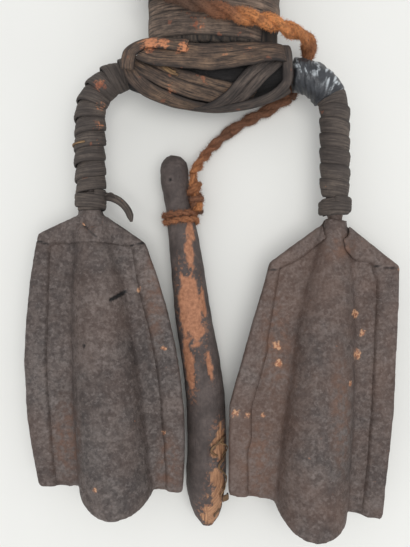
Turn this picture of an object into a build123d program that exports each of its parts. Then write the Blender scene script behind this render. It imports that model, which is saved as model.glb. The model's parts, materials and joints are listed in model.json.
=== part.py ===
from build123d import *
import math
import os

# A forged double bell, lying on its back: two flanged iron bells on one arched rod, a bound handle
# lashed to the arch, and a wooden striker on a rope. Millimetres. X runs across the two bells,
# Y towards the handle, Z up from the surface that the instrument lies on. Everything is laid out with
# Z = 0 in the seam plane of the bells and Y = 0 on the top run of the arch, and moved at the end so
# that the origin is in the middle of the footprint.

# Sheet iron
sheet = 1.8
fold_clearance = 0.3
hem_seat = 0.1
crease_radius = 4.2

# Left bell: places are (across, down) from the foot of its neck, along its own leaning axis
left_neck_y = -76.5
left_lean = 4.75
left_shoulder_outer = (29.0, 8.5)
left_shoulder_inner = (28.8, 18.5)
left_belly_outer = (43.0, 92.0)
left_belly_inner = (42.0, 96.0)
left_mouth_outer = (40.0, 146.5)
left_mouth_inner = (38.0, 156.5)
left_dish_offset = 1.7
left_lip_drop = 10.5
left_shoulder_gap = ((-28.5, 60.0), (-23.6, 17.9), (-23.0, 14.2), (21.5, 19.2), (24.0, 52.0))

# Right bell, the lower-pitched and wider one
right_neck_y = -82.0
right_lean = -4.5
right_shoulder_outer = (37.0, 20.5)
right_shoulder_inner = (34.3, 24.0)
right_belly_outer = (39.9, 100.0)
right_belly_inner = (50.2, 103.3)
right_mouth_outer = (38.2, 159.5)
right_mouth_inner = (46.9, 152.7)
right_dish_offset = -1.2
right_lip_drop = 11.5
right_shoulder_gap = (
    (-32.4, 70.4),
    (-28.6, 26.2),
    (-20.7, 22.6),
    (-11.4, 15.2),
    (-4.3, 7.5),
    (-2.4, 2.9),
    (1.6, 2.9),
    (4.6, 14.5),
    (11.6, 19.5),
    (22.0, 19.4),
    (25.5, 54.0),
)

# What both bells share
neck_half_width = 6.6
neck_height = 2.8
neck_root = 7.0
neck_dish_width = 7.8
neck_dish_depth = 4.7
mouth_dish_width = 22.0
mouth_dish_depth = 20.2
lip_half_width = 20.5
hem_width = 12.0
dish_stations = ((0.0, 0.05, 0.05), (0.26, 0.62, 0.42), (0.62, 0.92, 0.8), (1.0, 1.0, 1.0), (1.2, 1.0, 1.0))

# Arched rod
rod_radius = 5.0
tang_radius = 3.9
tang_length = 13.0
tang_taper = 4.0
arch_left_x = -68.0
arch_right_x = 66.4
arch_corner_radius = 23.0

# Bark strips wound on the arms
wrap_clearance = 0.7
wrap_thickness = 1.8
wrap_width = 7.7
wrap_pitch = 8.4
wrap_steps_per_turn = 14
left_wrap_start_x = -48.0
left_wrap_end_y = -62.5
right_wrap_start_angle = 64.0
right_wrap_end_y = -66.5
left_collar_radius = 8.6
left_collar_height = 10.0
right_collar_radius = 9.4
right_collar_height = 11.5
collar_gap = 0.4
collar_bulge = 0.32
strap_width = 3.2
strap_thickness = 1.3
strap_reach = 15.5
strap_fall = 14.0
strap_lift = 6.0
strap_bow = (0.66, 0.32, 0.6)

# Tape on the right shoulder
tape_radius = 9.7
tape_start_x = 43.0
tape_gap = 0.6

# Handle
handle_width = 74.0
handle_depth = 44.0
handle_foot_y = 11.5
handle_top_y = 112.0
handle_end_roundness = 0.225
saddle_half_width = 24.0
saddle_depth = 22.0
saddle_clearance = 0.3
saddle_corner = 5.0
band_width = 11.6
band_pitch = 12.3
band_thickness = 1.7
band_clearance = 0.45
band_steps_per_turn = 24
band_turns = 7.6
band_foot_room = 1.0

# Lashing of bark strips round the middle of the arch
nest_left_x = -47.0
nest_right_x = 41.0
nest_pole_radius = 8.2
nest_middle_radius = 15.6
nest_fullness = 0.9
nest_core_gap = 0.4
lash_thickness = 1.6
lash_layer = 2.5
lash_width = 9.5
lash_gap = 1.0
lash_narrowing = 0.5
lash_middle_angle = 77.0
lash_twist = 150.0
upper_strip_width = 12.6
rim_strip_width = 7.2
back_strip_width = 7.6
lash_steps = 22

# Rope and striker
rope_diameter = 8.0
run_diameter = 6.8
lead_diameter = 5.6
tie_diameter = 3.6
tie_turns = 2.15
tie_steps_per_turn = 14
tie_sides = 6
tie_start = 0.262
tie_end = 0.304
rope_gap = 0.4
turn_room = 2.1
rope_slack = 0.5
striker_gap = 0.4
striker_steps = 26

floor_depth = mouth_dish_depth + sheet


def polygon_loft(sections):
    """One solid through a row of polygons, with flat facets between them."""
    wires = [Wire.make_polygon([Vector(*p) for p in section], close=True) for section in sections]
    return Solid.make_loft(wires, True)


# Bells


def dish_section(down, width, depth, offset, low, high, side):
    """Cross-section of a dished sheet at a place down the bell: flat flanges, creases and a round dish.

    low and high are the distances of the two faces from the sheet's inner face, side is 1 or -1."""
    turn = 2 * math.atan(depth / width)
    dish_radius = width / math.sin(turn) - crease_radius
    reach = mouth_dish_width + 3 * hem_width

    def face_edges(rise):
        crease = crease_radius - rise
        dish = dish_radius + rise
        top = depth - dish_radius

        def place(x, z):
            return Vector(offset + x, -down, side * z)

        def on_crease(sign, angle):
            return place(sign * (crease * math.sin(angle) - width), crease_radius - crease * math.cos(angle))

        def on_dish(angle):
            return place(dish * math.sin(angle), top + dish * math.cos(angle))

        return [
            Edge.make_line(place(-reach, rise), on_crease(1, 0)),
            Edge.make_three_point_arc(on_crease(1, 0), on_crease(1, turn / 2), on_dish(-turn)),
            Edge.make_three_point_arc(on_dish(-turn), on_dish(0), on_dish(turn)),
            Edge.make_three_point_arc(on_dish(turn), on_crease(-1, turn / 2), on_crease(-1, 0)),
            Edge.make_line(on_crease(-1, 0), place(reach, rise)),
        ]

    lower = face_edges(low)
    upper = face_edges(high)
    ends = [
        Edge.make_line(lower[-1] @ 1, upper[-1] @ 1),
        Edge.make_line(upper[0] @ 0, lower[0] @ 0),
    ]
    return Wire(lower + upper + ends)


def dished_sheet(length, dish_offset, low, high, side):
    """A sheet as wide as the bells' field, dished from the neck to past the lip."""
    top = -neck_height
    sections = [dish_section(top, neck_dish_width, neck_dish_depth, 0, low, high, side)]
    for along, width_share, depth_share in dish_stations:
        width = neck_dish_width + (mouth_dish_width - neck_dish_width) * width_share
        depth = neck_dish_depth + (mouth_dish_depth - neck_dish_depth) * depth_share
        across = dish_offset * width_share
        sections.append(dish_section(along * length, width, depth, across, low, high, side))
    return Solid.make_loft(sections, True)


def prism(face, low, high):
    return Pos(0, 0, low) * Solid.extrude(face, Vector(0, 0, high - low))


def shrunk(face, amount):
    """A flat face drawn in on every side."""
    return offset(face, -amount, kind=Kind.INTERSECTION).faces()[0]


def polygon(*points):
    return Face(Wire.make_polygon([Vector(x, -y) for x, y in points], close=True))


def bell(name, outer_sign, neck, lean, shoulders, bellies, mouths, dish_offset, lip_drop, rounded, gap):
    """Front and back sheet of one bell. outer_sign is -1 where the outer side is the left one.

    rounded sides bow through the belly, others have a corner there. gap is the outline of what the
    folded-over shoulders leave open at the top."""
    sides = (0, 1) if outer_sign < 0 else (1, 0)
    left, right = (
        [
            Vector(sign * corner[0], -corner[1])
            for corner in (shoulders[i], bellies[i], mouths[i])
        ]
        for sign, i in zip((-1, 1), sides)
    )
    neck_left = [Vector(-neck_half_width, neck_height), Vector(-neck_half_width, 0)]
    neck_right = [Vector(neck_half_width, 0), Vector(neck_half_width, neck_height)]

    def mouth_at(x):
        share = (x - left[2].X) / (right[2].X - left[2].X)
        return left[2].Y + (right[2].Y - left[2].Y) * share

    lip_left = Vector(dish_offset - lip_half_width, mouth_at(dish_offset - lip_half_width))
    lip_right = Vector(dish_offset + lip_half_width, mouth_at(dish_offset + lip_half_width))
    lip_bottom = Vector(dish_offset, mouth_at(dish_offset) - lip_drop)
    lip_root = Vector(0, lip_half_width)
    lip = Face(
        Wire(
            [
                Edge.make_line(lip_left + lip_root, lip_left),
                Edge.make_three_point_arc(lip_left, lip_bottom, lip_right),
                Edge.make_line(lip_right, lip_right + lip_root),
                Edge.make_line(lip_right + lip_root, lip_left + lip_root),
            ]
        )
    )
    neck_face = polygon(
        (-neck_half_width, -neck_height),
        (-neck_half_width, neck_root),
        (neck_half_width, neck_root),
        (neck_half_width, -neck_height),
    )
    fold = sheet + fold_clearance

    def flank(top, belly, foot):
        if rounded:
            return [Edge.make_three_point_arc(top, belly, foot)]
        return [Edge.make_line(top, belly), Edge.make_line(belly, foot)]

    body = Face(
        Wire(
            [
                Edge.make_line(neck_left[1], left[0]),
                *flank(*left),
                Edge.make_line(left[2], right[2]),
                *flank(*reversed(right)),
                Edge.make_line(right[0], neck_right[0]),
                Edge.make_line(neck_right[0], neck_left[1]),
            ]
        )
    )
    inset = shrunk(body, fold)
    hem_top = 2 * sheet + hem_seat
    length = -lip_bottom.Y - lip_drop / 3

    reach = floor_depth + sheet
    front = dished_sheet(length, dish_offset, 0, sheet, 1)
    front = front & extrude_all(inset + lip + neck_face, -sheet, reach)
    back = dished_sheet(length, dish_offset, 0, sheet, -1)
    back = back & extrude_all(body + lip + neck_face, -reach, sheet)

    inner = shrunk(body, hem_width)
    gap_foot = max(down for across, down in gap[1:-1])
    field = max(bellies[0][0], bellies[1][0])
    shoulder_field = polygon((-field, 0), (field, 0), (field, gap_foot), (-field, gap_foot))
    window = (inner - shoulder_field) + (Pos(0, -hem_width - lip_drop, 0) * inner) + polygon(*gap)
    hem_layer = dished_sheet(length, dish_offset, sheet + hem_seat, hem_top, 1)
    hem = hem_layer & extrude_all(body - window - neck_face, 0, reach + sheet)

    mouth_strip = Face(
        Wire.make_polygon(
            [
                left[2] + Vector(-fold, 2 * fold),
                left[2] + Vector(-fold, -2 * fold),
                right[2] + Vector(fold, -2 * fold),
                right[2] + Vector(fold, 2 * fold),
            ],
            close=True,
        )
    )
    neck_room = polygon(
        (-neck_half_width - fold, -neck_height - fold),
        (-neck_half_width - fold, neck_root + fold),
        (neck_half_width + fold, neck_root + fold),
        (neck_half_width + fold, -neck_height - fold),
    )
    rim = body - shrunk(body, sheet) - mouth_strip - neck_room
    wall = extrude_all(rim, -sheet, hem_top)
    back = back + wall + hem

    place = Pos(neck[0], neck[1], 0) * Rot(0, 0, lean)
    return {f"{name}_bell_front_sheet": place * front, f"{name}_bell_back_sheet": place * back}


def extrude_all(shape, low, high):
    """Upright prisms over every face of a flat shape."""
    solids = [prism(face, low, high) for face in shape.faces()]
    whole = solids[0]
    for solid in solids[1:]:
        whole = whole + solid
    return whole


nodes = {}
nodes.update(
    bell(
        "left",
        -1,
        (arch_left_x, left_neck_y),
        left_lean,
        (left_shoulder_outer, left_shoulder_inner),
        (left_belly_outer, left_belly_inner),
        (left_mouth_outer, left_mouth_inner),
        left_dish_offset,
        left_lip_drop,
        True,
        left_shoulder_gap,
    )
)
nodes.update(
    bell(
        "right",
        1,
        (arch_right_x, right_neck_y),
        right_lean,
        (right_shoulder_outer, right_shoulder_inner),
        (right_belly_outer, right_belly_inner),
        (right_mouth_outer, right_mouth_inner),
        right_dish_offset,
        right_lip_drop,
        False,
        right_shoulder_gap,
    )
)


# Arched rod, with a tapered tang at each end that the two sheets of a bell clasp


def arch_line(left_foot, right_foot):
    corners = [
        (arch_left_x, left_foot),
        (arch_left_x, 0),
        (arch_right_x, 0),
        (arch_right_x, right_foot),
    ]
    return FilletPolyline(*corners, radius=arch_corner_radius)


def tang(x, shoulder_y):
    """Tapered end of the rod, from its full thickness down into a bell's neck."""
    profile = make_face(
        Polyline(
            (0, 0),
            (rod_radius, 0),
            (tang_radius, -tang_taper),
            (tang_radius, -tang_length),
            (0, -tang_length),
            close=True,
        )
    )
    return Pos(x, shoulder_y, 0) * revolve(profile, Axis.Y)


left_foot_y = left_neck_y + neck_height + tang_taper
right_foot_y = right_neck_y + neck_height + tang_taper
arch = arch_line(left_foot_y, right_foot_y)
arch_length = arch.length
rod = sweep(Plane(arch @ 0, z_dir=arch % 0) * Circle(rod_radius), path=arch)
nodes["arch_rod"] = rod + tang(arch_left_x, left_foot_y) + tang(arch_right_x, right_foot_y)


def arch_frame(distance):
    """Place on the arch's centre line, and the outward normal in the plane of the arch."""
    share = distance / arch_length
    along = arch % share
    return arch @ share, Vector(-along.Y, along.X, 0)


def ring_point(distance, angle, radius):
    """A point round the arch rod: angle 0 lies on the outside of the arch, 90 degrees on its front."""
    place, outward = arch_frame(distance)
    return place + outward * (radius * math.cos(angle)) + Vector(0, 0, radius * math.sin(angle))


def arm_wrap(name, start, end):
    """A flat strip wound on the rod between two distances along the arch, as one unbroken winding."""
    inner = rod_radius + wrap_clearance
    outer = inner + wrap_thickness
    turns = (abs(end - start) - wrap_width) / wrap_pitch
    steps = round(turns * wrap_steps_per_turn)
    sections = []
    for i in range(steps + 1):
        angle = 2 * math.pi * i / wrap_steps_per_turn
        middle = min(start, end) + wrap_width / 2 + wrap_pitch * i / wrap_steps_per_turn
        low = middle - wrap_width / 2
        high = middle + wrap_width / 2
        sections.append(
            [
                ring_point(low, angle, inner),
                ring_point(high, angle, inner),
                ring_point(high, angle, outer),
                ring_point(low, angle, outer),
            ]
        )
    gap = min(
        (below[2] - above[3]).length
        for below, above in zip(sections, sections[wrap_steps_per_turn:])
    )
    print(f"{name}: {turns:.1f} turns, least gap to itself {gap:.2f}")
    return polygon_loft(sections)


corner_arc = arch_corner_radius * math.pi / 2
top_run = arch_right_x - arch_left_x - 2 * arch_corner_radius
left_leg = -left_foot_y - arch_corner_radius
top_start = left_leg + corner_arc
left_wrap_start = top_start + left_wrap_start_x - arch_left_x - arch_corner_radius
left_wrap_end = left_wrap_end_y - left_foot_y
nodes["left_arm_wrap"] = arm_wrap("left_arm_wrap", left_wrap_start, left_wrap_end)
tape_end = top_start + top_run + corner_arc * right_wrap_start_angle / 90
right_wrap_start = tape_end + tape_gap
right_wrap_end = arch_length - (right_wrap_end_y - right_foot_y)
nodes["right_arm_wrap"] = arm_wrap("right_arm_wrap", right_wrap_start, right_wrap_end)


def collar(x, top_y, radius, height):
    """The knotted end of a wrap: two rolls of strip pressed round the rod."""
    bore = rod_radius + wrap_clearance
    roll = height / 2
    rim = radius - roll * collar_bulge
    profile = make_face(
        [
            Line((bore, 0), (rim, 0)),
            ThreePointArc((rim, 0), (radius, -roll / 2), (rim, -roll)),
            ThreePointArc((rim, -roll), (radius, -roll * 3 / 2), (rim, -height)),
            Line((rim, -height), (bore, -height)),
            Line((bore, -height), (bore, 0)),
        ]
    )
    return Pos(x, top_y, 0) * revolve(profile, Axis.Y)


nodes["left_end_collar"] = collar(
    arch_left_x, left_wrap_end_y - collar_gap, left_collar_radius, left_collar_height
)
nodes["right_end_collar"] = collar(
    arch_right_x, right_wrap_end_y - collar_gap, right_collar_radius, right_collar_height
)

# Loose end of the left wrap, standing off the collar
strap_root_x = arch_left_x + left_collar_radius + collar_gap
strap_root_y = left_wrap_end_y - collar_gap - left_collar_height / 4
strap_root = Vector(strap_root_x, strap_root_y, 0)
strap_end = Vector(strap_reach, -strap_fall, strap_lift)
strap_middle = Vector(strap_reach * strap_bow[0], -strap_fall * strap_bow[1], strap_lift * strap_bow[2])
strap_path = ThreePointArc(strap_root, strap_root + strap_middle, strap_root + strap_end)
strap_plane = Plane(strap_path @ 0, x_dir=(0, 0, 1), z_dir=strap_path % 0)
nodes["strap_tail"] = sweep(strap_plane * Rectangle(strap_width, strap_thickness), path=strap_path)

# Tape on the right shoulder: a thick sleeve on the corner of the arch
tape_bore = rod_radius + wrap_clearance
tape_arc = CenterArc(
    (arch_right_x - arch_corner_radius, -arch_corner_radius),
    arch_corner_radius,
    90,
    -right_wrap_start_angle,
)
tape_path = Line((tape_start_x, 0), tape_arc @ 0) + tape_arc
tape_section = Plane(tape_path @ 0, z_dir=tape_path % 0) * (Circle(tape_radius) - Circle(tape_bore))
nodes["tape_sleeve"] = sweep(tape_section, path=tape_path)

# Handle: an oval wooden core saddled on the top run of the arch, bound with a flat strip
core_width = handle_width - 2 * (band_clearance + band_thickness)
core_depth = handle_depth - 2 * (band_clearance + band_thickness)


def upright(face_plane_y, sketch):
    """A flat shape drawn in x and z, put at a height along the handle."""
    return Plane((0, face_plane_y, 0), x_dir=(1, 0, 0), z_dir=(0, -1, 0)) * sketch


grip_length = handle_top_y - handle_foot_y
grip = extrude(upright(handle_top_y, Ellipse(core_width / 2, core_depth / 2)), grip_length)
grip = fillet(grip.edges().group_by(Axis.Y)[-1], handle_end_roundness * core_depth)
saddle_top_y = handle_foot_y + saddle_corner
saddle_block = RectangleRounded(2 * saddle_half_width, saddle_depth, saddle_corner)
saddle = extrude(upright(saddle_top_y, saddle_block), saddle_top_y)
saddle_groove = Rot(0, 90, 0) * Cylinder(rod_radius + saddle_clearance, 4 * saddle_half_width)
nodes["handle_core"] = grip + saddle - saddle_groove


def oval_point(angle, lift, y):
    """A point off the side of the handle's core, lift away from its surface."""
    a = core_width / 2
    b = core_depth / 2
    normal = Vector(math.cos(angle) / a, 0, math.sin(angle) / b).normalized()
    return Vector(a * math.cos(angle), y, b * math.sin(angle)) + normal * lift


def handle_binding():
    """One flat strip wound down the handle from its end to the lashing."""
    steps = round(band_turns * band_steps_per_turn)
    sections = []
    for i in range(steps + 1):
        angle = math.pi - 2 * math.pi * i / band_steps_per_turn
        low = band_top_y - band_width - band_pitch * i / band_steps_per_turn
        high = low + band_width
        outer = band_clearance + band_thickness
        sections.append(
            [
                oval_point(angle, band_clearance, low),
                oval_point(angle, band_clearance, high),
                oval_point(angle, outer, high),
                oval_point(angle, outer, low),
            ]
        )
    gap = min(
        (above[3] - below[2]).length
        for above, below in zip(sections, sections[band_steps_per_turn:])
    )
    print(f"handle_binding: {band_turns} turns, least gap to itself {gap:.2f}")
    return polygon_loft(sections)


band_top_y = handle_foot_y + band_foot_room + band_pitch * band_turns + band_width
nodes["handle_binding"] = handle_binding()

# Lashing: bark strips laid over a swelling round the middle of the arch. Angle 0 is the front, 90 degrees
# the side towards the bells and -90 degrees the side towards the handle.


def nest_swell(x):
    """How full the lashing is at a place along it: 0 at its two poles, 1 in the middle."""
    share = (2 * x - nest_left_x - nest_right_x) / (nest_right_x - nest_left_x)
    return max(0.0, 1 - share * share) ** nest_fullness


def nest_radius(x, layer):
    swelling = (nest_middle_radius - nest_pole_radius) * nest_swell(x)
    return nest_pole_radius + swelling + layer * lash_layer


def nest_point(x, angle, layer):
    radius = nest_radius(x, layer)
    return Vector(x, -radius * math.sin(angle), radius * math.cos(angle))


def lash_strip(course, layer, width):
    """A flat strip over the lashing. course gives x and angle (degrees) for a share of the way along."""
    small = 0.002
    sections = []
    for i in range(lash_steps + 1):
        share = i / lash_steps
        x, degrees = course(share)
        angle = math.radians(degrees)
        place = nest_point(x, angle, layer)
        before = course(max(0, share - small))
        after = course(min(1, share + small))
        along = nest_point(after[0], math.radians(after[1]), layer)
        along -= nest_point(before[0], math.radians(before[1]), layer)
        outward = Vector(0, -math.sin(angle), math.cos(angle))
        across = along.cross(outward).normalized()
        normal = across.cross(along).normalized()
        half = across * (width / 2 * (1 - lash_narrowing * (1 - nest_swell(x))))
        rise = normal * lash_thickness
        sections.append([place - half, place + half, place + half + rise, place - half + rise])
    return polygon_loft(sections)


def sweep_course(start_x, end_x, middle_angle, twist, spread):
    """A strip that leaves one pole high and turns round to the far pole, spread apart from its fellows."""

    def course(share):
        x = start_x + (end_x - start_x) * share
        fan = spread * math.degrees(lash_pitch / nest_radius(x, 0))
        return x, middle_angle + twist * (share - 0.5) + fan

    return course


def between(points):
    """A course through a row of places, smooth in between."""
    last = len(points) - 1

    def course(share):
        i = min(int(share * last), last - 1)
        t = share * last - i
        a, b, c, d = (points[max(0, min(last, k))] for k in (i - 1, i, i + 1, i + 2))
        return tuple(
            q + t * (r - p + t * (2 * p - 5 * q + 4 * r - s + t * (3 * (q - r) + s - p))) / 2
            for p, q, r, s in zip(a, b, c, d)
        )

    return course


def lash_core():
    """The inner turns of the lashing, drawn as one spindle on the rod, open where the handle is let in."""
    xs = [nest_left_x + (nest_right_x - nest_left_x) * i / lash_steps for i in range(lash_steps + 1)]
    bore = rod_radius + saddle_clearance
    outline = [(x, nest_radius(x, 0) - nest_core_gap) for x in xs]
    profile = make_face(Polyline(*outline, (xs[-1], bore), (xs[0], bore), close=True))
    spindle = revolve(profile, Axis.X)
    room = 2 * nest_core_gap
    handle_room = Pos(0, handle_top_y / 2 + handle_foot_y - nest_core_gap, 0)
    handle_room = handle_room * Box(2 * handle_width, handle_top_y, 2 * handle_depth)
    saddle_room = Pos(0, handle_top_y / 2 - nest_core_gap, 0)
    saddle_room = saddle_room * Box(2 * saddle_half_width + room, handle_top_y, saddle_depth + room)
    return spindle - handle_room - saddle_room


nodes["lash_core"] = lash_core()
lash_pitch = lash_width + lash_gap
for number, spread in enumerate((-1, 0, 1), 1):
    from_right = sweep_course(nest_right_x - 1, nest_left_x + 3, lash_middle_angle, lash_twist, spread)
    from_left = sweep_course(nest_left_x + 1, nest_right_x - 3, lash_middle_angle, lash_twist, spread)
    nodes[f"right_lash_strip_{number}"] = lash_strip(from_right, 0, lash_width)
    nodes[f"left_lash_strip_{number}"] = lash_strip(from_left, 1, lash_width)
upper_course = ((-34, -14), (-15, -8), (5, -8), (22, -10), (33.5, -20))
rim_course = ((-45.5, 5), (-43.5, -14), (-38, -26), (-28, -29), (-14, -25))
side_course = ((39, -38), (38.5, 10), (35.8, 51), (27, 68), (10, 84), (-8, 94))
back_course = ((-10, 176), (4, 172), (18, 172), (33, 178))
nodes["upper_lash_strip"] = lash_strip(between(upper_course), 2, upper_strip_width)
nodes["rim_lash_strip"] = lash_strip(between(rim_course), 3, rim_strip_width)
nodes["side_lash_strip"] = lash_strip(between(side_course), 2, rim_strip_width)
nodes["back_lash_strip"] = lash_strip(between(back_course), 0, back_strip_width)

# Rope: over the front of the handle, down behind the taped shoulder, along the lashing and then free
# to the striker. Points are the places where its straight runs meet.


def rope_tube(points, diameter, name):
    """A tube of straight runs joined by arcs as large as the runs allow."""
    places = [Vector(*p) for p in points]
    runs = [b - a for a, b in zip(places, places[1:])]
    radii = []
    for one, two in zip(runs, runs[1:]):
        turn = math.radians(one.get_angle(two))
        radii.append(0.45 * min(one.length, two.length) / math.tan(turn / 2))
    path = FilletPolyline(*places, radius=radii)
    tube = sweep(Plane(path @ 0, z_dir=path % 0) * Circle(diameter / 2), path=path)
    expected = math.pi * diameter**2 / 4 * path.length
    print(f"{name}: length {path.length:.1f}, radii {[round(r, 1) for r in radii]}", end=" ")
    print(f"volume {tube.volume:.0f} of {expected:.0f}")
    return tube


def rope_seat(degrees, y):
    """A place for the rope's centre on the binding of the handle."""
    lift = band_clearance + band_thickness + rope_gap + rope_slack + rope_diameter / 2
    return oval_point(math.radians(degrees), lift, y)


turn_on_handle = (
    (188, 39.5),
    (170, 37.2),
    (149, 34.4),
    (126, 30.6),
    (105, 26.8),
    (84, 23.6),
    (63, 21.6),
    (43, 21.2),
    (25, 21.0),
)
turn_past_arch = (
    (50.6, 18.8, 4.2),
    (53.0, 15.6, -2.6),
    (51.6, 10.4, -9.4),
    (49.2, 4.2, -14.2),
    (46.2, -2.0, -16.6),
)
run_points = (
    (43.2, -7.0, -16.8),
    (34.0, -13.6, -17.6),
    (25.0, -18.0, -18.4),
    (16.6, -22.4, -18.2),
)
lead_points = (
    (9.4, -27.0, -18.4),
    (3.6, -31.9, -18.0),
    (-1.4, -36.8, -16.8),
    (-5.6, -42.4, -13.6),
    (-9.2, -48.4, -8.8),
    (-11.7, -54.0, -4.0),
)


def short_of(place, neighbour, room):
    """The point that lies room before a place, on the way to it from its neighbour."""
    return place + (neighbour - place).normalized() * room


lead_exit = Vector(*lead_points[0])
striker_pivot = Vector(*lead_points[-1])
ball_room = lead_diameter / 2 + rope_gap
run_end = short_of(lead_exit, Vector(*run_points[-1]), ball_room)
turn_end = short_of(Vector(*run_points[0]), Vector(*turn_past_arch[-1]), turn_room)
turn_points = [rope_seat(*place) for place in turn_on_handle] + list(turn_past_arch) + [turn_end]
nodes["rope_turn"] = rope_tube(turn_points, rope_diameter, "rope_turn")
nodes["rope_run"] = rope_tube([*run_points, run_end], run_diameter, "rope_run")
lead = rope_tube(lead_points, lead_diameter, "rope_lead")
for end in (lead_exit, striker_pivot):
    lead = lead + Pos(end) * Sphere(lead_diameter / 2)
nodes["rope_lead"] = lead

# Striker: a crooked tapering stick, lying on the surface between the bells. Stations are the place of its
# centre seen from above, its radius and the height of its centre over the surface.
striker_stations = (
    (-21.6, -43.2, 3.4, 13.6),
    (-22.0, -46.6, 7.0, 13.4),
    (-22.2, -54.0, 8.3, 13.0),
    (-20.2, -70.5, 7.6, 12.1),
    (-17.0, -90.0, 8.8, 12.9),
    (-14.0, -114.0, 9.8, 12.7),
    (-10.8, -139.0, 10.6, 12.5),
    (-6.9, -161.0, 11.0, 12.4),
    (-4.7, -181.0, 11.2, 12.3),
    (-4.0, -206.0, 11.3, 12.2),
    (-4.5, -228.0, 11.3, 12.0),
    (-3.8, -243.0, 8.2, 11.8),
    (-3.6, -251.0, 3.2, 11.8),
)
striker_line = between(striker_stations)
# The rope beside the stick: share of the stick's length, radius, and degrees up from level
knot_stations = (
    (0.195, 2.4, 25),
    (0.209, 2.9, 25),
    (0.222, 3.4, 24),
    (0.239, 3.6, 22),
    (0.2535, 2.6, 20),
)
striker_last = len(striker_stations) - 1


def striker_axis(share):
    x, y, radius, height = striker_line(share)
    return Vector(x, y, height - floor_depth), radius


def striker_frame(share):
    """Centre, radius and direction of the stick, and the direction across it, level with the surface."""
    place, radius = striker_axis(share)
    step = 0.25 / striker_last
    ahead, behind = striker_axis(min(1, share + step))[0], striker_axis(max(0, share - step))[0]
    along = (ahead - behind).normalized()
    return place, radius, along, along.cross(Vector(0, 0, 1)).normalized()


def stick():
    """Rounds strung on the crooked line of the stick."""
    rounds = []
    for i in range(striker_steps + 1):
        place, radius, along, across = striker_frame(i / striker_steps)
        rounds.append(Wire.make_circle(radius, Plane(place, x_dir=across, z_dir=along)))
    return Solid.make_loft(rounds, True)


def striker_tie():
    """Cord wound round the neck of the stick, one unbroken open winding."""
    cord = tie_diameter / 2
    steps = round(tie_turns * tie_steps_per_turn)
    ring = []
    for i in range(steps + 1):
        share = tie_start + (tie_end - tie_start) * i / steps
        place, radius, along, across = striker_frame(share)
        angle = 2 * math.pi * i / tie_steps_per_turn
        outward = across * math.cos(angle) + across.cross(along) * math.sin(angle)
        ring.append((place + outward * (radius + striker_gap + cord), outward, along))
    sections = []
    for place, outward, along in ring:
        corners = []
        for k in range(tie_sides):
            turn = 2 * math.pi * k / tie_sides
            corners.append(place + outward * (cord * math.cos(turn)) + along * (cord * math.sin(turn)))
        sections.append(corners)
    gap = min((b[0] - a[0]).length for a, b in zip(ring, ring[tie_steps_per_turn:])) - tie_diameter
    print(f"striker_tie: {tie_turns} turns, least gap to itself {gap:.2f}")
    return polygon_loft(sections)


def rope_knot():
    """The rope's run beside the stick's head and the lump where it is tied off."""
    steps = len(knot_stations) - 1
    rounds = []
    for i, (share, radius, degrees) in enumerate(knot_stations):
        place, stick_radius, along, across = striker_frame(share)
        angle = math.radians(degrees)
        side = across * -math.cos(angle) + Vector(0, 0, math.sin(angle))
        centre = place + side * (stick_radius + striker_gap + radius)
        rounds.append(Wire.make_circle(radius, Plane(centre, x_dir=across, z_dir=along)))
        if i in (0, steps):
            print(f"rope_knot: end at {tuple(round(v, 1) for v in centre)}")
    return Solid.make_loft(rounds, True)


nodes["striker"] = stick()
nodes["striker_tie"] = striker_tie()
nodes["rope_knot"] = rope_knot()

# Move everything so that the origin is on the surface, in the middle of the footprint without the free rope
box = Compound([solid for name, solid in nodes.items() if name != "rope_lead"]).bounding_box()
origin_shift = -Vector((box.min.X + box.max.X) / 2, (box.min.Y + box.max.Y) / 2, box.min.Z)
print("size", [round(v, 2) for v in box.size], "shift", [round(v, 3) for v in origin_shift])
for joint, place in (("rope_swing", lead_exit), ("striker_swing", striker_pivot)):
    print(joint, [round(v, 3) for v in place + origin_shift])

os.makedirs("parts", exist_ok=True)
for name, solid in nodes.items():
    export_step(Pos(origin_shift) * solid, f"parts/{name}.step")
    print(name, len(solid.solids()), round(solid.volume), solid.is_valid)
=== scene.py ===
# %% [markdown]
# A forged double bell with a rope-hung striker, lying on a white table. The imported solids are the skeleton:
# they fix where every piece is. This script dresses them, and it loads them first.

# %% Load the solids
import json
import math
import bmesh
import bpy
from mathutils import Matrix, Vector, noise
from mathutils.bvhtree import BVHTree


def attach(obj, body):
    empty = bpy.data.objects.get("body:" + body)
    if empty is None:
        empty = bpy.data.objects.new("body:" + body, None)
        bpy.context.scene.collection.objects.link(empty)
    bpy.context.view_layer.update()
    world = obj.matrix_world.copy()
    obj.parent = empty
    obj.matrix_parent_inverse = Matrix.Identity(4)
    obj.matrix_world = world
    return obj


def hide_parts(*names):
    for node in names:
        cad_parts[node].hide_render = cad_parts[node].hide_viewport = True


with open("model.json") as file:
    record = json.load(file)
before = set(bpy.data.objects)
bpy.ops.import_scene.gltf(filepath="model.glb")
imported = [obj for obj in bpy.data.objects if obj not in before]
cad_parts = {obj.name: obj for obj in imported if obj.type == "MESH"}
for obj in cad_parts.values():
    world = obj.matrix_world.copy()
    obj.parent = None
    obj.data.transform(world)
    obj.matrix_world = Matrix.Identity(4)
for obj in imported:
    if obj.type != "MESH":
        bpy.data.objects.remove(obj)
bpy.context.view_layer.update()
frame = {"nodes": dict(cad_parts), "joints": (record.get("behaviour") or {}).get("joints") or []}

print("pieces loaded:", len(frame["nodes"]))

# %% [markdown]
# The solids were drawn with the bells' seam at Z = 0 and the top of the arch at Y = 0, in millimetres, and
# then moved onto the table. One point that is known in both places, the free rope's start, gives that move.
# The function at() turns a drawing place into metres in the frame of the solids.

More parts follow.
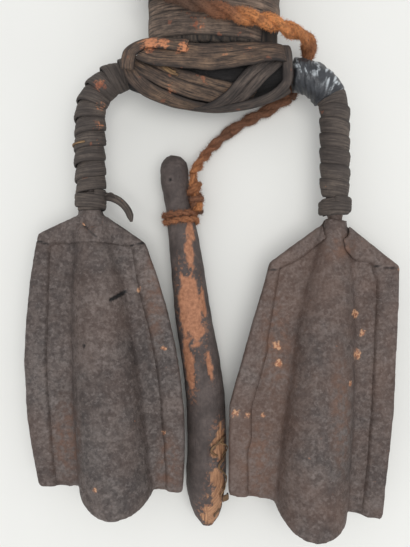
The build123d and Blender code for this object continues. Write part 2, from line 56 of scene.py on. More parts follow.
# %% From drawing millimetres to the frame
MM = 0.001
LEAD_POINTS = (
    (9.4, -27.0, -18.4),
    (3.6, -31.9, -18.0),
    (-1.4, -36.8, -16.8),
    (-5.6, -42.4, -13.6),
    (-9.2, -48.4, -8.8),
    (-11.7, -54.0, -4.0),
)
joint_places = {joint["name"]: Vector(joint["pos_m"]) for joint in frame["joints"]}
drawing_move = joint_places["rope_swing"] - Vector(LEAD_POINTS[0]) * MM


def at(place):
    """A drawing place in millimetres, as metres in the frame."""
    return Vector(place) * MM + drawing_move


print("drawing moved by", [round(v / MM, 2) for v in drawing_move])

# %% [markdown]
# The camera hangs straight above the bell, as a telephone held over a table does. Near things look a little
# larger than far ones, which shows on the handle and the rope, so its height matters as much as its angle.

# %% Camera
CAMERA_PLACE = (-5.0, -109.2, 340.0)
HALF_VIEW = 150.4
camera_data = bpy.data.cameras.new("camera")
camera = bpy.data.objects.new("camera", camera_data)
bpy.context.scene.collection.objects.link(camera)
camera.location = at(CAMERA_PLACE)
camera_data.sensor_fit = "VERTICAL"
camera_data.angle = 2 * math.atan(HALF_VIEW / CAMERA_PLACE[2])
camera_data.clip_start = 0.01
bpy.context.scene.camera = camera
print("camera sees", round(2 * HALF_VIEW), "mm of the seam plane")

# %% [markdown]
# Shader nodes are easier to read when each is one line. put() makes a node and fills its inputs: a socket
# given as a value is linked, anything else is set. The other helpers name the nodes that come back often.

# %% Node helpers


def feed(tree, target, value):
    """Links a socket to an input, or sets the input to a plain value."""
    if isinstance(value, bpy.types.NodeSocket):
        tree.links.new(value, target)
    else:
        target.default_value = value


def put(tree, kind, inputs=None, **settings):
    """A new node. inputs maps socket names or numbers to values or to other sockets."""
    made = tree.nodes.new(kind)
    for key, value in settings.items():
        setattr(made, key, value)
    for key, value in (inputs or {}).items():
        feed(tree, made.inputs[key], value)
    return made


def colour(red, green, blue):
    """A colour as a picture shows it, 0 to 255, as the linear value that shaders take."""

    def linear(value):
        share = value / 255
        return share / 12.92 if share <= 0.04045 else ((share + 0.055) / 1.055) ** 2.4

    return (linear(red), linear(green), linear(blue), 1.0)


def mix(tree, share, first, second):
    """Colour socket that goes from first to second."""
    made = put(tree, "ShaderNodeMix", data_type="RGBA", blend_type="MIX")
    for key, value in ((0, share), (6, first), (7, second)):
        feed(tree, made.inputs[key], value)
    return made.outputs[2]


def ramp(tree, value, low, high):
    """Value socket that rises from 0 to 1 between low and high."""
    inputs = {"Value": value, "From Min": low, "From Max": high}
    return put(tree, "ShaderNodeMapRange", inputs, interpolation_type="SMOOTHSTEP").outputs[0]


def rescaled(tree, value, low, high):
    """Value socket that goes from low to high while the given one goes from 0 to 1."""
    return put(tree, "ShaderNodeMapRange", {"Value": value, "To Min": low, "To Max": high}).outputs[0]


def calc(tree, how, first, second):
    return put(tree, "ShaderNodeMath", {0: first, 1: second}, operation=how).outputs[0]


def times(tree, first, second):
    return calc(tree, "MULTIPLY", first, second)


print("node helpers ready")

# %% Groups and materials


def group(name, inputs, outputs, fill):
    """A shader group. fill gets the tree, its input sockets and a way to set its outputs."""
    tree = bpy.data.node_groups.new(name, "ShaderNodeTree")
    for key, (kind, value) in inputs.items():
        socket = tree.interface.new_socket(key, in_out="INPUT", socket_type=kind)
        if value is not None:
            socket.default_value = value
    for key, kind in outputs.items():
        tree.interface.new_socket(key, in_out="OUTPUT", socket_type=kind)
    source = tree.nodes.new("NodeGroupInput")
    target = tree.nodes.new("NodeGroupOutput")
    for key, socket in fill(tree, source.outputs).items():
        tree.links.new(socket, target.inputs[key])
    return tree


def use(tree, shared, inputs):
    """The only output of a shared group that is placed in a material."""
    return put(tree, "ShaderNodeGroup", inputs, node_tree=shared).outputs[0]


def material(name, fill, **plain):
    """A material: fill links the changing inputs of its shader, plain sets the constant ones."""
    made = bpy.data.materials.new(name)
    made.use_nodes = True
    tree = made.node_tree
    shader = tree.nodes["Principled BSDF"]
    for key, value in plain.items():
        shader.inputs[key.replace("_", " ")].default_value = value
    for key, socket in fill(tree).items():
        tree.links.new(socket, shader.inputs[key])
    return made


def bump(tree, height, strength, distance):
    inputs = {"Height": height, "Strength": strength, "Distance": distance}
    return put(tree, "ShaderNodeBump", inputs).outputs[0]


def object_place(tree):
    return put(tree, "ShaderNodeTexCoord").outputs["Object"]


def strip_place(tree):
    return put(tree, "ShaderNodeUVMap", uv_map="strip").outputs[0]


def attribute(tree, name):
    return put(tree, "ShaderNodeAttribute", attribute_name=name).outputs["Fac"]


print("group and material helpers ready")

# %% [markdown]
# Three effects come back on several finishes, so each is a group made once. Mottle is cloudy change of tone,
# Streaks are fibres that run along a strip or a stick (they read the piece's own UV map: U across, V along,
# in metres), and Specks are small separate spots.

# %% Shared effects


def noise_field(tree, place, scale, detail, roughness):
    inputs = {"Vector": place, "Scale": scale, "Detail": detail, "Roughness": roughness}
    return put(tree, "ShaderNodeTexNoise", inputs).outputs[0]


def fill_mottle(tree, given):
    cloud = noise_field(tree, given["Vector"], given["Scale"], 6.0, 0.62)
    return {"Tone": ramp(tree, cloud, 0.3, 0.72)}


def fill_streaks(tree, given):
    inputs = {0: given["Vector"], 1: given["Stretch"]}
    stretched = put(tree, "ShaderNodeVectorMath", inputs, operation="MULTIPLY").outputs[0]
    fibre = noise_field(tree, stretched, given["Scale"], 5.0, 0.7)
    return {"Tone": ramp(tree, fibre, 0.32, 0.7)}


def fill_specks(tree, given):
    field = noise_field(tree, given["Vector"], given["Scale"], 3.0, 0.55)
    edge = calc(tree, "SUBTRACT", 1.0, given["Amount"])
    return {"Mask": ramp(tree, field, edge, calc(tree, "ADD", edge, 0.06))}


VECTOR = ("NodeSocketVector", None)
MOTTLE = group(
    "Mottle",
    {"Vector": VECTOR, "Scale": ("NodeSocketFloat", 60.0)},
    {"Tone": "NodeSocketFloat"},
    fill_mottle,
)
STREAKS = group(
    "Streaks",
    {
        "Vector": VECTOR,
        "Stretch": ("NodeSocketVector", (1.0, 0.06, 1.0)),
        "Scale": ("NodeSocketFloat", 900.0),
    },
    {"Tone": "NodeSocketFloat"},
    fill_streaks,
)
SPECKS = group(
    "Specks",
    {"Vector": VECTOR, "Scale": ("NodeSocketFloat", 90.0), "Amount": ("NodeSocketFloat", 0.35)},
    {"Mask": "NodeSocketFloat"},
    fill_specks,
)


def mottle(tree, place, scale):
    return use(tree, MOTTLE, {"Vector": place, "Scale": scale})


def streaks(tree, along, stretch, scale):
    return use(tree, STREAKS, {"Vector": along, "Stretch": (1.0, stretch, 1.0), "Scale": scale})


def specks(tree, place, scale, amount):
    return use(tree, SPECKS, {"Vector": place, "Scale": scale, "Amount": amount})


print("shared effects:", MOTTLE.name, STREAKS.name, SPECKS.name)

# %% [markdown]
# The table is plain and pale, and the light is soft: one broad lamp far above, a little to the lower right,
# and a pale sky all round, which fills the shadows.

# %% Table
TABLE_SIZE = 3.0
TABLE_COLOUR = colour(234, 233, 227)
TABLE_SHADE = colour(222, 221, 216)


def fill_table(tree):
    tone = times(tree, mottle(tree, object_place(tree), 5.0), 0.25)
    return {"Base Color": mix(tree, tone, TABLE_COLOUR, TABLE_SHADE)}


half = TABLE_SIZE / 2
table_mesh = bpy.data.meshes.new("table")
corners = [(-half, -half, 0), (half, -half, 0), (half, half, 0), (-half, half, 0)]
table_mesh.from_pydata(corners, [], [(0, 1, 2, 3)])
table = bpy.data.objects.new("table", table_mesh)
bpy.context.scene.collection.objects.link(table)
table_mesh.materials.append(material("table_white", fill_table, Roughness=0.9))
print("table is", TABLE_SIZE, "m wide")

# %% Light
SKY_COLOUR = colour(240, 242, 246)
SKY_STRENGTH = 0.86
LAMP_PLACE = (140.0, -220.0, 1300.0)
LAMP_AIM = (0, -80, 0)
LAMP_SIZE = 0.9
LAMP_POWER = 7.6
lamp_data = bpy.data.lights.new("lamp", "AREA")
lamp_data.energy = LAMP_POWER
lamp_data.size = LAMP_SIZE
lamp = bpy.data.objects.new("lamp", lamp_data)
bpy.context.scene.collection.objects.link(lamp)
lamp.location = at(LAMP_PLACE)
lamp.rotation_euler = (at(LAMP_AIM) - lamp.location).to_track_quat("-Z", "Y").to_euler()
world = bpy.data.worlds.new("sky")
bpy.context.scene.world = world
world.use_nodes = True
sky = world.node_tree.nodes["Background"]
sky.inputs["Color"].default_value = SKY_COLOUR
sky.inputs["Strength"].default_value = SKY_STRENGTH
bpy.context.scene.view_settings.view_transform = "Standard"
print("lamp", LAMP_POWER, "W, sky", SKY_STRENGTH)

# %% [markdown]
# The bells are forged from thin sheet. The iron is dark grey-brown, nearly matt, with lighter worn flecks,
# brown rust that follows the folds, and small orange blooms. The shape is already right in the solids, but
# a hammered sheet is never smooth, so each sheet is remeshed finely and its skin is moved by noise: broad
# dents, fine pitting, and edges that wander.

# %% Iron finish
IRON_DARK = colour(82, 73, 69)
IRON_GREY = colour(112, 103, 98)
IRON_BLACK = colour(40, 35, 34)
IRON_WORN = colour(128, 119, 115)
IRON_PALE = colour(150, 142, 138)
# Painted shade inside tears, the open seam and split creases.
IRON_TEAR_SHADE = colour(18, 15, 14)
RUST_BROWN = colour(116, 86, 70)
RUST_ORANGE = colour(168, 108, 72)
RUST_PALE = colour(204, 158, 122)


def iron(name, rust, bloom):
    """Forged iron. rust is how brown all of it is, bloom how much of it small orange spots cover."""

    def fill(tree):
        place = object_place(tree)
        broad = mottle(tree, place, 38.0)
        cloud = mottle(tree, place, 210.0)
        fine = mottle(tree, place, 620.0)
        wear_and_edge_shade = specks(tree, place, 430.0, 0.43)
        grains = specks(tree, place, 1700.0, 0.34)
        spots = specks(tree, place, 330.0, bloom)
        ragged = calc(tree, "ADD", times(tree, fine, 0.6), times(tree, cloud, 0.4))
        ragged = calc(tree, "ADD", ragged, attribute(tree, "bloom"))
        stained = times(tree, attribute(tree, "rust"), ramp(tree, cloud, 0.0, 1.1))
        bright = mix(tree, ramp(tree, fine, 0.4, 0.62), RUST_ORANGE, RUST_PALE)
        tone = mix(tree, broad, IRON_DARK, IRON_GREY)
        tone = mix(tree, times(tree, ramp(tree, cloud, 0.25, 0.75), 0.5), tone, IRON_BLACK)
        tone = mix(tree, times(tree, fine, 0.4), tone, IRON_BLACK)
        tone = mix(tree, times(tree, wear_and_edge_shade, 0.32), tone, IRON_WORN)
        tone = mix(tree, times(tree, grains, 0.24), tone, IRON_PALE)
        tone = mix(tree, times(tree, mottle(tree, place, 23.0), rust), tone, RUST_BROWN)
        tone = mix(tree, times(tree, stained, 0.75), tone, RUST_BROWN)
        tone = mix(tree, times(tree, spots, 0.45), tone, RUST_ORANGE)
        tone = mix(tree, times(tree, ramp(tree, ragged, 1.0, 1.6), 0.85), tone, bright)
        # Painted shade: near black inside tears, the open seam and split creases.
        tone = mix(tree, attribute(tree, "dark"), tone, IRON_TEAR_SHADE)
        rough = rescaled(tree, fine, 0.52, 0.85)
        return {"Base Color": tone, "Roughness": rough, "Normal": bump(tree, fine, 0.35, 0.0006)}

    return material(name, fill, Metallic=0.15)


LEFT_IRON = iron("left_bell_iron", 0.22, 0.26)
RIGHT_IRON = iron("right_bell_iron", 0.42, 0.27)
ROD_IRON = iron("rod_iron", 0.4, 0.24)
print("iron finishes ready")

# %% [markdown]
# The solids come as triangles of every size. To dent a sheet it needs small even faces, so a copy is merged,
# remeshed by the Remesh modifier and smoothed. Numbers that are stored for each vertex tell a finish where it
# is. dress() puts a piece on the body that it rides on and hides the solids that it stands for.

# %% Piece helpers


def new_object(name, mesh, finish):
    made = bpy.data.objects.new(name, mesh)
    bpy.context.scene.collection.objects.link(made)
    mesh.materials.clear()
    mesh.materials.append(finish)
    for polygon in mesh.polygons:
        polygon.use_smooth = True
    return made


def dress(piece, body, slot, *nodes):
    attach(piece, body)
    if nodes:
        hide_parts(*nodes)
    return piece


def wander(place, size, seed):
    """Smooth noise from -1 to 1 that changes over about size millimetres."""
    return noise.noise(Vector(place) / (size * MM) + Vector((seed * 7.3, seed * 3.1, seed * 5.7)))


def store(mesh, name, values):
    """One number for each vertex, which a material can read."""
    layer = mesh.attributes.new(name, "FLOAT", "POINT")
    layer.data.foreach_set("value", values)


def store_nothing(mesh, *names):
    for name in names:
        store(mesh, name, [0.0] * len(mesh.vertices))


def evaluated_mesh(obj):
    depsgraph = bpy.context.evaluated_depsgraph_get()
    return bpy.data.meshes.new_from_object(obj.evaluated_get(depsgraph))


print("piece helpers ready")

# %% Even meshes from the solids
MERGE_DISTANCE = 0.00001


def add_remesh(source, name, voxel):
    step = source.modifiers.new(name, "REMESH")
    step.mode = "VOXEL"
    step.voxel_size = voxel * MM


def remeshed(node, voxel, closing=0.0):
    """A fine even mesh of a solid. Slots narrower than twice the closing are filled."""
    mesh = frame["nodes"][node].data.copy()
    shell = bmesh.new()
    shell.from_mesh(mesh)
    bmesh.ops.remove_doubles(shell, verts=shell.verts, dist=MERGE_DISTANCE)
    shell.to_mesh(mesh)
    shell.free()
    source = bpy.data.objects.new("remesh_source", mesh)
    bpy.context.scene.collection.objects.link(source)
    add_remesh(source, "fine", voxel)
    if closing:
        for number, sign in enumerate((1, -1)):
            swell = source.modifiers.new(f"swell_{number}", "DISPLACE")
            swell.mid_level = 0.0
            swell.strength = sign * closing * MM
            add_remesh(source, f"again_{number}", voxel)
    fine = evaluated_mesh(source)
    bpy.data.objects.remove(source)
    return fine


def softened(mesh, rounds):
    """The steps of a voxel mesh smoothed away."""
    every_axis = {f"use_axis_{axis}": True for axis in "xyz"}
    shell = bmesh.new()
    shell.from_mesh(mesh)
    for _ in range(rounds):
        bmesh.ops.smooth_vert(shell, verts=shell.verts, factor=0.5, **every_axis)
    shell.to_mesh(mesh)
    shell.free()
    mesh.update()


print("points closer than", MERGE_DISTANCE, "m are merged")

# %% [markdown]
# Each bell has marks of its own: a slit, a small hole, an open seam, creases that have split, brown rust and
# orange blooms. They are placed one by one as seen from above. A tear is sunk into the sheet, so that it is
# there in the mesh too, and its colour is painted near black as the shade inside the gap.

# %% Marks on the bells
# Each bloom: x, y and reach.
BLOOMS = {
    "left": (
        (-62.5, -222.0, 2.4),
        (-27.0, -150.0, 2.6),
        (-69.5, -82.0, 3.0),
        (-27.5, -196.0, 2.2),
        (-41.0, -118.0, 2.6),
    ),
    "right": (
        (76.4, -131.0, 4.0),
        (81.3, -142.0, 3.4),
        (77.5, -153.0, 4.6),
        (34.0, -148.5, 4.4),
        (35.2, -158.4, 3.4),
        (11.5, -185.4, 4.4),
        (18.0, -186.5, 3.0),
        (72.5, -168.0, 2.4),
        (27.0, -187.0, 2.6),
        (102.0, -106.5, 3.0),
    ),
}
# Each zone: x, y, and its reach across and along the bell.
RUST_ZONES = {
    "left": (
        (-32.0, -120.0, 7.0, 40.0),
        (-80.0, -200.0, 12.0, 30.0),
        (-68.0, -84.0, 14.0, 7.0),
        (-25.0, -215.0, 9.0, 26.0),
    ),
    "right": (
        (66.0, -182.0, 8.0, 42.0),
        (34.0, -150.0, 12.0, 40.0),
        (68.0, -95.0, 12.0, 10.0),
        (24.0, -210.0, 14.0, 30.0),
    ),
}
SLIT = ((-55.2, -123.4), (-48.2, -119.2))
HOLE = ((-69.4, -147.4), (-69.2, -147.4))
SEAM = ((-72.6, -80.9), (-62.8, -89.7))
SLIT_REACH, HOLE_REACH, SEAM_REACH = 1.2, 0.8, 0.7
LEFT_CREASES = (((-96.9, -91.3), (-90.2, -93.3)), ((-45.7, -94.1), (-36.9, -91.9)))
RIGHT_CREASES = (((29.6, -107.3), (36.3, -106.5)), ((87.4, -105.1), (100.6, -106.7)))
CREASE_DEPTH = 0.45
# Each tear: its two ends, its reach and its depth.
TEARS = {
    ("left", "front"): ((SLIT, SLIT_REACH, 1.1), (HOLE, HOLE_REACH, 1.0)),
    ("left", "back"): ((SEAM, SEAM_REACH, 0.5), *((ends, SEAM_REACH, CREASE_DEPTH) for ends in LEFT_CREASES)),
    ("right", "back"): tuple((ends, SEAM_REACH, CREASE_DEPTH) for ends in RIGHT_CREASES),
}


def from_above(place):
    """A drawing place seen from above, in metres."""
    return at((*place, 0)).to_2d()


def from_segment(place, first, last):
    """Distance from a place to a straight scratch, seen from above."""
    run = last - first
    share = max(0.0, min(1.0, (place - first).dot(run) / run.length_squared))
    return (place - first - run * share).length


def nearness(distance, reach):
    """1 at no distance, falling to 0 at the reach."""
    return max(0.0, 1 - distance / reach)


print("blooms:", {side: len(spots) for side, spots in BLOOMS.items()})

# %% Bell sheets
BELL_VOXEL = 0.95
BELL_SMOOTHING = {"front": 12, "back": 4}
NECK_CLOSING = 1.5
DENT_SIZE, DENT_DEPTH = 14.0, 0.32
PIT_SIZE, PIT_DEPTH = 2.6, 0.1
TEAR_SIZE, TEAR_STRAY, TEAR_DEPTH = 3.0, 0.0005, 1.1
BLOOM_SIZE, BLOOM_STRAY = 1.9, 0.0011


def bell_sheet(side, sheet, finish, seed):
    node = f"{side}_bell_{sheet}_sheet"
    mesh = remeshed(node, BELL_VOXEL, NECK_CLOSING if sheet == "back" else 0.0)
    softened(mesh, BELL_SMOOTHING[sheet])
    marks = TEARS.get((side, sheet), ())
    tears = [([from_above(end) for end in ends], reach * MM, deep) for ends, reach, deep in marks]
    zones = [(from_above((x, y)), wide * MM, long * MM) for x, y, wide, long in RUST_ZONES[side]]
    blooms = [(from_above((x, y)), reach * MM) for x, y, reach in BLOOMS[side]]
    values = {"bloom": [], "rust": [], "dark": []}
    normals = [vertex.normal.copy() for vertex in mesh.vertices]
    for vertex, normal in zip(mesh.vertices, normals):
        place = vertex.co.copy()
        flat = place.to_2d()
        torn = 0.0
        for ends, reach, deep in tears:
            gap = from_segment(flat, *ends) + TEAR_STRAY * wander(place, TEAR_SIZE, seed + 4)
            if normal.z > 0:
                torn = max(torn, nearness(gap, reach) * deep)
        stray = BLOOM_STRAY * wander(place, BLOOM_SIZE, seed + 6)
        bloom = max(nearness((flat - spot).length + stray, reach) for spot, reach in blooms)
        off_zones = [((flat - spot).x / wide, (flat - spot).y / long) for spot, wide, long in zones]
        rust = max(nearness(math.hypot(*off), 1.0) for off in off_zones)
        # The dark value paints the shade inside the tears and split creases.
        for key, value in (("bloom", 1.6 * bloom), ("rust", 1.5 * rust), ("dark", 2.5 * torn)):
            values[key].append(min(1.0, value))
        lift = wander(place, DENT_SIZE, seed) * DENT_DEPTH + wander(place, PIT_SIZE, seed + 9) * PIT_DEPTH
        vertex.co = place + normal * ((lift - TEAR_DEPTH * torn) * MM)
    for key in values:
        store(mesh, key, values[key])
    return dress(new_object(f"{side}_bell_{sheet}", mesh, finish), "frame", "bell_iron", node)


left_sheets = [bell_sheet("left", sheet, LEFT_IRON, 2) for sheet in ("front", "back")]
right_sheets = [bell_sheet("right", sheet, RIGHT_IRON, 5) for sheet in ("front", "back")]
print("bell faces:", [len(piece.data.polygons) for piece in left_sheets + right_sheets])

# %% [markdown]
# On the left bell the sheet runs on from the neck into the shoulders. The two solids leave a narrow slot
# there, so one more skin is laid over both: it takes their height from above, fills whatever is narrower
# than a few millimetres, and dives below them at its border.

# %% Left neck, its height
COVER_BOX = (-83.0, -53.0, -92.5, -75.0)
COVER_STEP = 0.6
COVER_REACH = 3
COVER_LOWEST = -12.0
LOOK_FROM = 60.0
NO_SHEET = -1.0
DOWN = Vector((0, 0, -1))


def top_heights(pieces, places):
    """The height of the highest sheet below each place."""
    trees = []
    for piece in pieces:
        corners = [vertex.co for vertex in piece.data.vertices]
        trees.append(BVHTree.FromPolygons(corners, [face.vertices for face in piece.data.polygons]))
    heights = {}
    for key, place in places.items():
        hits = [tree.ray_cast(place, DOWN)[0] for tree in trees]
        heights[key] = max((hit.z for hit in hits if hit), default=NO_SHEET)
    return heights


def spread(heights, pick):
    """Each height becomes the highest or the lowest of its neighbourhood."""
    near = range(-COVER_REACH, COVER_REACH + 1)
    disc = [(i, j) for i in near for j in near if i * i + j * j <= COVER_REACH**2 + 1]
    result = {}
    for i, j in heights:
        result[i, j] = pick(heights[i + a, j + b] for a, b in disc if (i + a, j + b) in heights)
    return result


low_x, high_x, low_y, high_y = COVER_BOX
COVER_ACROSS = round((high_x - low_x) / COVER_STEP)
COVER_ALONG = round((high_y - low_y) / COVER_STEP)
cover_places = {
    (i, j): at((low_x + i * COVER_STEP, low_y + j * COVER_STEP, LOOK_FROM))
    for i in range(COVER_ACROSS)
    for j in range(COVER_ALONG)
}
closed = spread(spread(top_heights(left_sheets, cover_places), max), min)
print("places over the left neck:", len(closed))

# %% Left neck, its skin
COVER_THICK = 0.9
COVER_PROUD = 0.12
BORDER_STEPS, BORDER_DIVE = 4, 1.2
SEAM_DEPTH = 0.4


def slab(name, top, faces, thick):
    """A skin with its thickness below it, closed all round."""
    under = len(top)
    edges = {(a, b) for face in faces for a, b in zip(face, face[1:] + face[:1])}
    walls = [(b, a, a + under, b + under) for a, b in edges if (b, a) not in edges]
    bottom = [place + DOWN * (thick * MM) for place in top]
    lower = [[k + under for k in reversed(face)] for face in faces]
    mesh = bpy.data.meshes.new(name)
    mesh.from_pydata(top + bottom, [], faces + lower + walls)
    return mesh


def without_loose_points(mesh):
    shell = bmesh.new()
    shell.from_mesh(mesh)
    loose = [vertex for vertex in shell.verts if not vertex.link_faces]
    bmesh.ops.delete(shell, geom=loose, context="VERTS")
    shell.to_mesh(mesh)
    shell.free()


def neck_cover(name, finish):
    seam = [from_above(end) for end in SEAM]
    floor = at((0, 0, COVER_LOWEST)).z
    numbers, top, dark = {}, [], []
    for (i, j), height in closed.items():
        if height <= floor:
            continue
        beside = [(i + a, j + b) for a in (-1, 0, 1) for b in (-1, 0, 1)]
        around = [closed[key] for key in beside if key in closed]
        height = sum(max(value, height - MM) for value in around) / len(around)
        border = min(i, j, COVER_ACROSS - 1 - i, COVER_ALONG - 1 - j)
        sunk = nearness(border, BORDER_STEPS) * BORDER_DIVE
        flat = cover_places[i, j].to_2d()
        torn = nearness(from_segment(flat, *seam), SEAM_REACH * MM)
        numbers[i, j] = len(top)
        top.append(Vector((*flat, height + (COVER_PROUD - sunk - SEAM_DEPTH * torn) * MM)))
        # The open seam is painted dark as the shade inside it.
        dark.append(min(1.0, 1.2 * torn))
    faces = []
    for i, j in numbers:
        ring = [(i, j), (i + 1, j), (i + 1, j + 1), (i, j + 1)]
        if all(key in numbers for key in ring):
            faces.append([numbers[key] for key in ring])
    mesh = slab(name, top, faces, COVER_THICK)
    store(mesh, "dark", dark + dark)
    without_loose_points(mesh)
    return dress(new_object(name, mesh, finish), "frame", "bell_iron")


left_neck = neck_cover("left_bell_neck", LEFT_IRON)
print("left neck faces:", len(left_neck.data.polygons))

# %% [markdown]
# Arch, handle and lashing are bound with strips of dry bark. A strip is a long thin ribbon: rounded on top,
# ridged by its fibres, ragged along its edges. One function makes such a ribbon from a row of stations, so
# every winding below only has to say where its strip goes. The ribbon keeps its own UV map, U across and V
# along in metres, and the bark finish draws its fibres along V.

# %% Bark finish
CLAY_DARK = colour(142, 84, 60)
CLAY_PALE = colour(212, 140, 98)


def bark(name, base, pale, dark, dust):
    """Dry bark of three tones. dust is how much of it orange specks cover."""

    def fill(tree):
        place = object_place(tree)
        fibre = streaks(tree, strip_place(tree), 0.07, 1100.0)
        broad = mottle(tree, place, 75.0)
        fine = mottle(tree, place, 520.0)
        wear_and_edge_shade = calc(tree, "POWER", attribute(tree, "edge"), 2.0)
        tone = mix(tree, fibre, dark, base)
        tone = mix(tree, times(tree, times(tree, fibre, broad), 0.85), tone, pale)
        tone = mix(tree, times(tree, fine, 0.3), tone, dark)
        # Painted shade: the edge value darkens the strip along its edges and underside, where it meets the
        # strips beside it.
        tone = mix(tree, times(tree, wear_and_edge_shade, 0.8), tone, dark)
        scatter = times(tree, specks(tree, place, 160.0, dust), 0.5)
        crumbs = calc(tree, "ADD", times(tree, fine, 0.6), times(tree, fibre, 0.35))
        crumbs = calc(tree, "ADD", crumbs, times(tree, attribute(tree, "clay"), 0.9))
        painted = times(tree, ramp(tree, crumbs, 0.85, 1.35), 0.92)
        clay = mix(tree, ramp(tree, times(tree, crumbs, broad), 0.2, 0.8), CLAY_DARK, CLAY_PALE)
        tone = mix(tree, calc(tree, "MAXIMUM", scatter, painted), tone, clay)
        height = calc(tree, "ADD", fibre, times(tree, fine, 0.5))
        return {"Base Color": tone, "Normal": bump(tree, height, 0.5, 0.0006)}

    return material(name, fill, Roughness=0.82)


ARM_BARK = bark("arm_bark", colour(85, 76, 70), colour(116, 103, 92), colour(52, 45, 41), 0.31)
LASH_BARK = bark("lash_bark", colour(94, 77, 66), colour(156, 126, 100), colour(36, 31, 29), 0.36)
BAND_BARK = bark("band_bark", colour(110, 93, 81), colour(168, 142, 121), colour(46, 39, 35), 0.35)
# Near-black bark: painted shade inside the lashing's nest.
INNER_BARK_SHADE = bark("inner_bark", colour(26, 23, 22), colour(50, 45, 43), colour(12, 11, 11), 0.2)
DARK_BARK = bark("dark_bark", colour(78, 68, 62), colour(116, 101, 90), colour(38, 33, 31), 0.32)
PALE_BARK = bark("pale_bark", colour(142, 106, 70), colour(204, 168, 118), colour(74, 56, 42), 0.25)
print("bark finishes ready")

# %% [markdown]
# Orange clay has dried on some of the strips. Its spots are balls, listed with x, y, z, reach and
# strength. Whatever part of a strip lies inside one is painted with clay, and the fibres break up its edge.

# %% Clay spots
CLAY_SPOTS = (
    (-61.5, -8.0, 8, 5.2, 0.9),
    (-60.0, -19.2, 6, 5.6, 0.65),
    (-62.5, -29.5, 6, 5.6, 0.55),
    (-62.0, -38.0, 6, 4.0, 0.4),
    (-34.0, 11.5, 20, 9.0, 1.0),
    (-27.0, 10.4, 21, 6.5, 0.85),
    (-16.2, 7.6, 22, 5.0, 0.9),
    (-8.6, 19.6, 22, 6.5, 0.65),
    (-20.0, 26.0, 21, 6.0, 0.4),
    (6.0, 5.5, 22, 6.0, 0.4),
    (18.0, 6.0, 20, 5.0, 0.45),
    (-24.0, -12.0, 15, 7.0, 0.4),
)


def clay_at(place):
    """How much orange clay lies on a place, given in millimetres of the drawing."""
    most = 0.0
    for x, y, z, reach, strength in CLAY_SPOTS:
        gap = (place - Vector((x, y, z))).length / reach
        most = max(most, min(1.0, 1.6 * (1 - gap)) * strength)
    return most


print("clay spots:", len(CLAY_SPOTS))

# %% Skin


def skin(name, loops, finish, uvs, clay, edge=None):
    """A tube of closed loops as one mesh. Each loop is a list of drawing places in millimetres."""
    count = len(loops[0])
    verts = [at(place) for loop in loops for place in loop]
    faces = []
    for row in range(len(loops) - 1):
        for i in range(count):
            j = (i + 1) % count
            faces.append((row * count + i, row * count + j, (row + 1) * count + j, (row + 1) * count + i))
    faces.append(tuple(range(count - 1, -1, -1)))
    faces.append(tuple(range((len(loops) - 1) * count, len(loops) * count)))
    mesh = bpy.data.meshes.new(name)
    mesh.from_pydata(verts, [], faces)
    layer = mesh.uv_layers.new(name="strip")
    for loop in mesh.loops:
        layer.data[loop.index].uv = uvs[loop.vertex_index]
    store(mesh, "clay", clay)
    store(mesh, "edge", edge or [0.0] * len(verts))
    shell = bmesh.new()
    shell.from_mesh(mesh)
    bmesh.ops.recalc_face_normals(shell, faces=shell.faces)
    shell.to_mesh(mesh)
    shell.free()
    return new_object(name, mesh, finish)


print("skin maker ready")

# %% Ribbon
RIBBON_COLUMNS = 12


def ribbon(name, stations, finish, seed, ridge=0.22, tilt=0.0, ragged=0.08):
    """A bark strip. A station is its place, the outward direction, the width and the thickness, all in mm."""
    loops, uvs, clay, edges = [], [], [], []
    travelled = 0.0
    for i, (place, outward, width, thick) in enumerate(stations):
        before = stations[max(0, i - 1)][0]
        after = stations[min(len(stations) - 1, i + 1)][0]
        along = (after - before).normalized()
        across = along.cross(outward).normalized()
        rise = across.cross(along).normalized()
        if i:
            travelled += (place - stations[i - 1][0]).length
        near_end = min(1.0, min(i, len(stations) - 1 - i) / 5 + 0.35)
        top, bottom = [], []
        for k in range(RIBBON_COLUMNS + 1):
            t = 2 * k / RIBBON_COLUMNS - 1
            edge = 1 + ragged * noise.noise(Vector((travelled / 7, seed * 3.7 + (5 if t > 0 else 0), 0)))
            sideways = across * (t * width / 2 * edge)
            lines = noise.noise(Vector((t * 4.5 + seed * 2.3, travelled / 26, seed)))
            base = rise * (tilt * (t + 1) / 2)
            crown = thick * near_end * (0.5 + 0.5 * (1 - t**4)) + ridge * lines * (1 - t**6)
            top.append(place + sideways + base + rise * max(0.25, crown))
            bottom.append(place + sideways + base)
            u = t * width / 2
            uvs.append(((u + seed * 13) * MM, travelled * MM))
            # The edge value rises from 0 mid-strip to 1 at the edges and underside; the bark paints it as
            # shade there.
            edges.append(max(0.0, abs(t) - 0.55) / 0.45)
        loop = top + bottom[::-1]
        edges.extend([1.0] * len(bottom))
        uvs.extend(uvs[-(RIBBON_COLUMNS + 1):][::-1])
        loops.append(loop)
        clay.extend(clay_at(point) for point in loop)
    return skin(name, loops, finish, uvs, clay, edges)


print("ribbon has", RIBBON_COLUMNS, "columns of faces on its top")

# %% [markdown]
# The two arms of the arch are wound from the lashing down to the bells. The strip climbs at an uneven pitch
# and each turn lies with one edge on the turn before it.

# %% Arch line
ARCH_LEFT, ARCH_RIGHT = -68.0, 66.4
CORNER = 23.0
LEFT_FOOT, RIGHT_FOOT = -69.7, -75.2
UP = Vector((0, 0, 1))
LEFT_LEG = -LEFT_FOOT - CORNER
TOP_RUN = ARCH_RIGHT - ARCH_LEFT - 2 * CORNER
ARC = CORNER * math.pi / 2


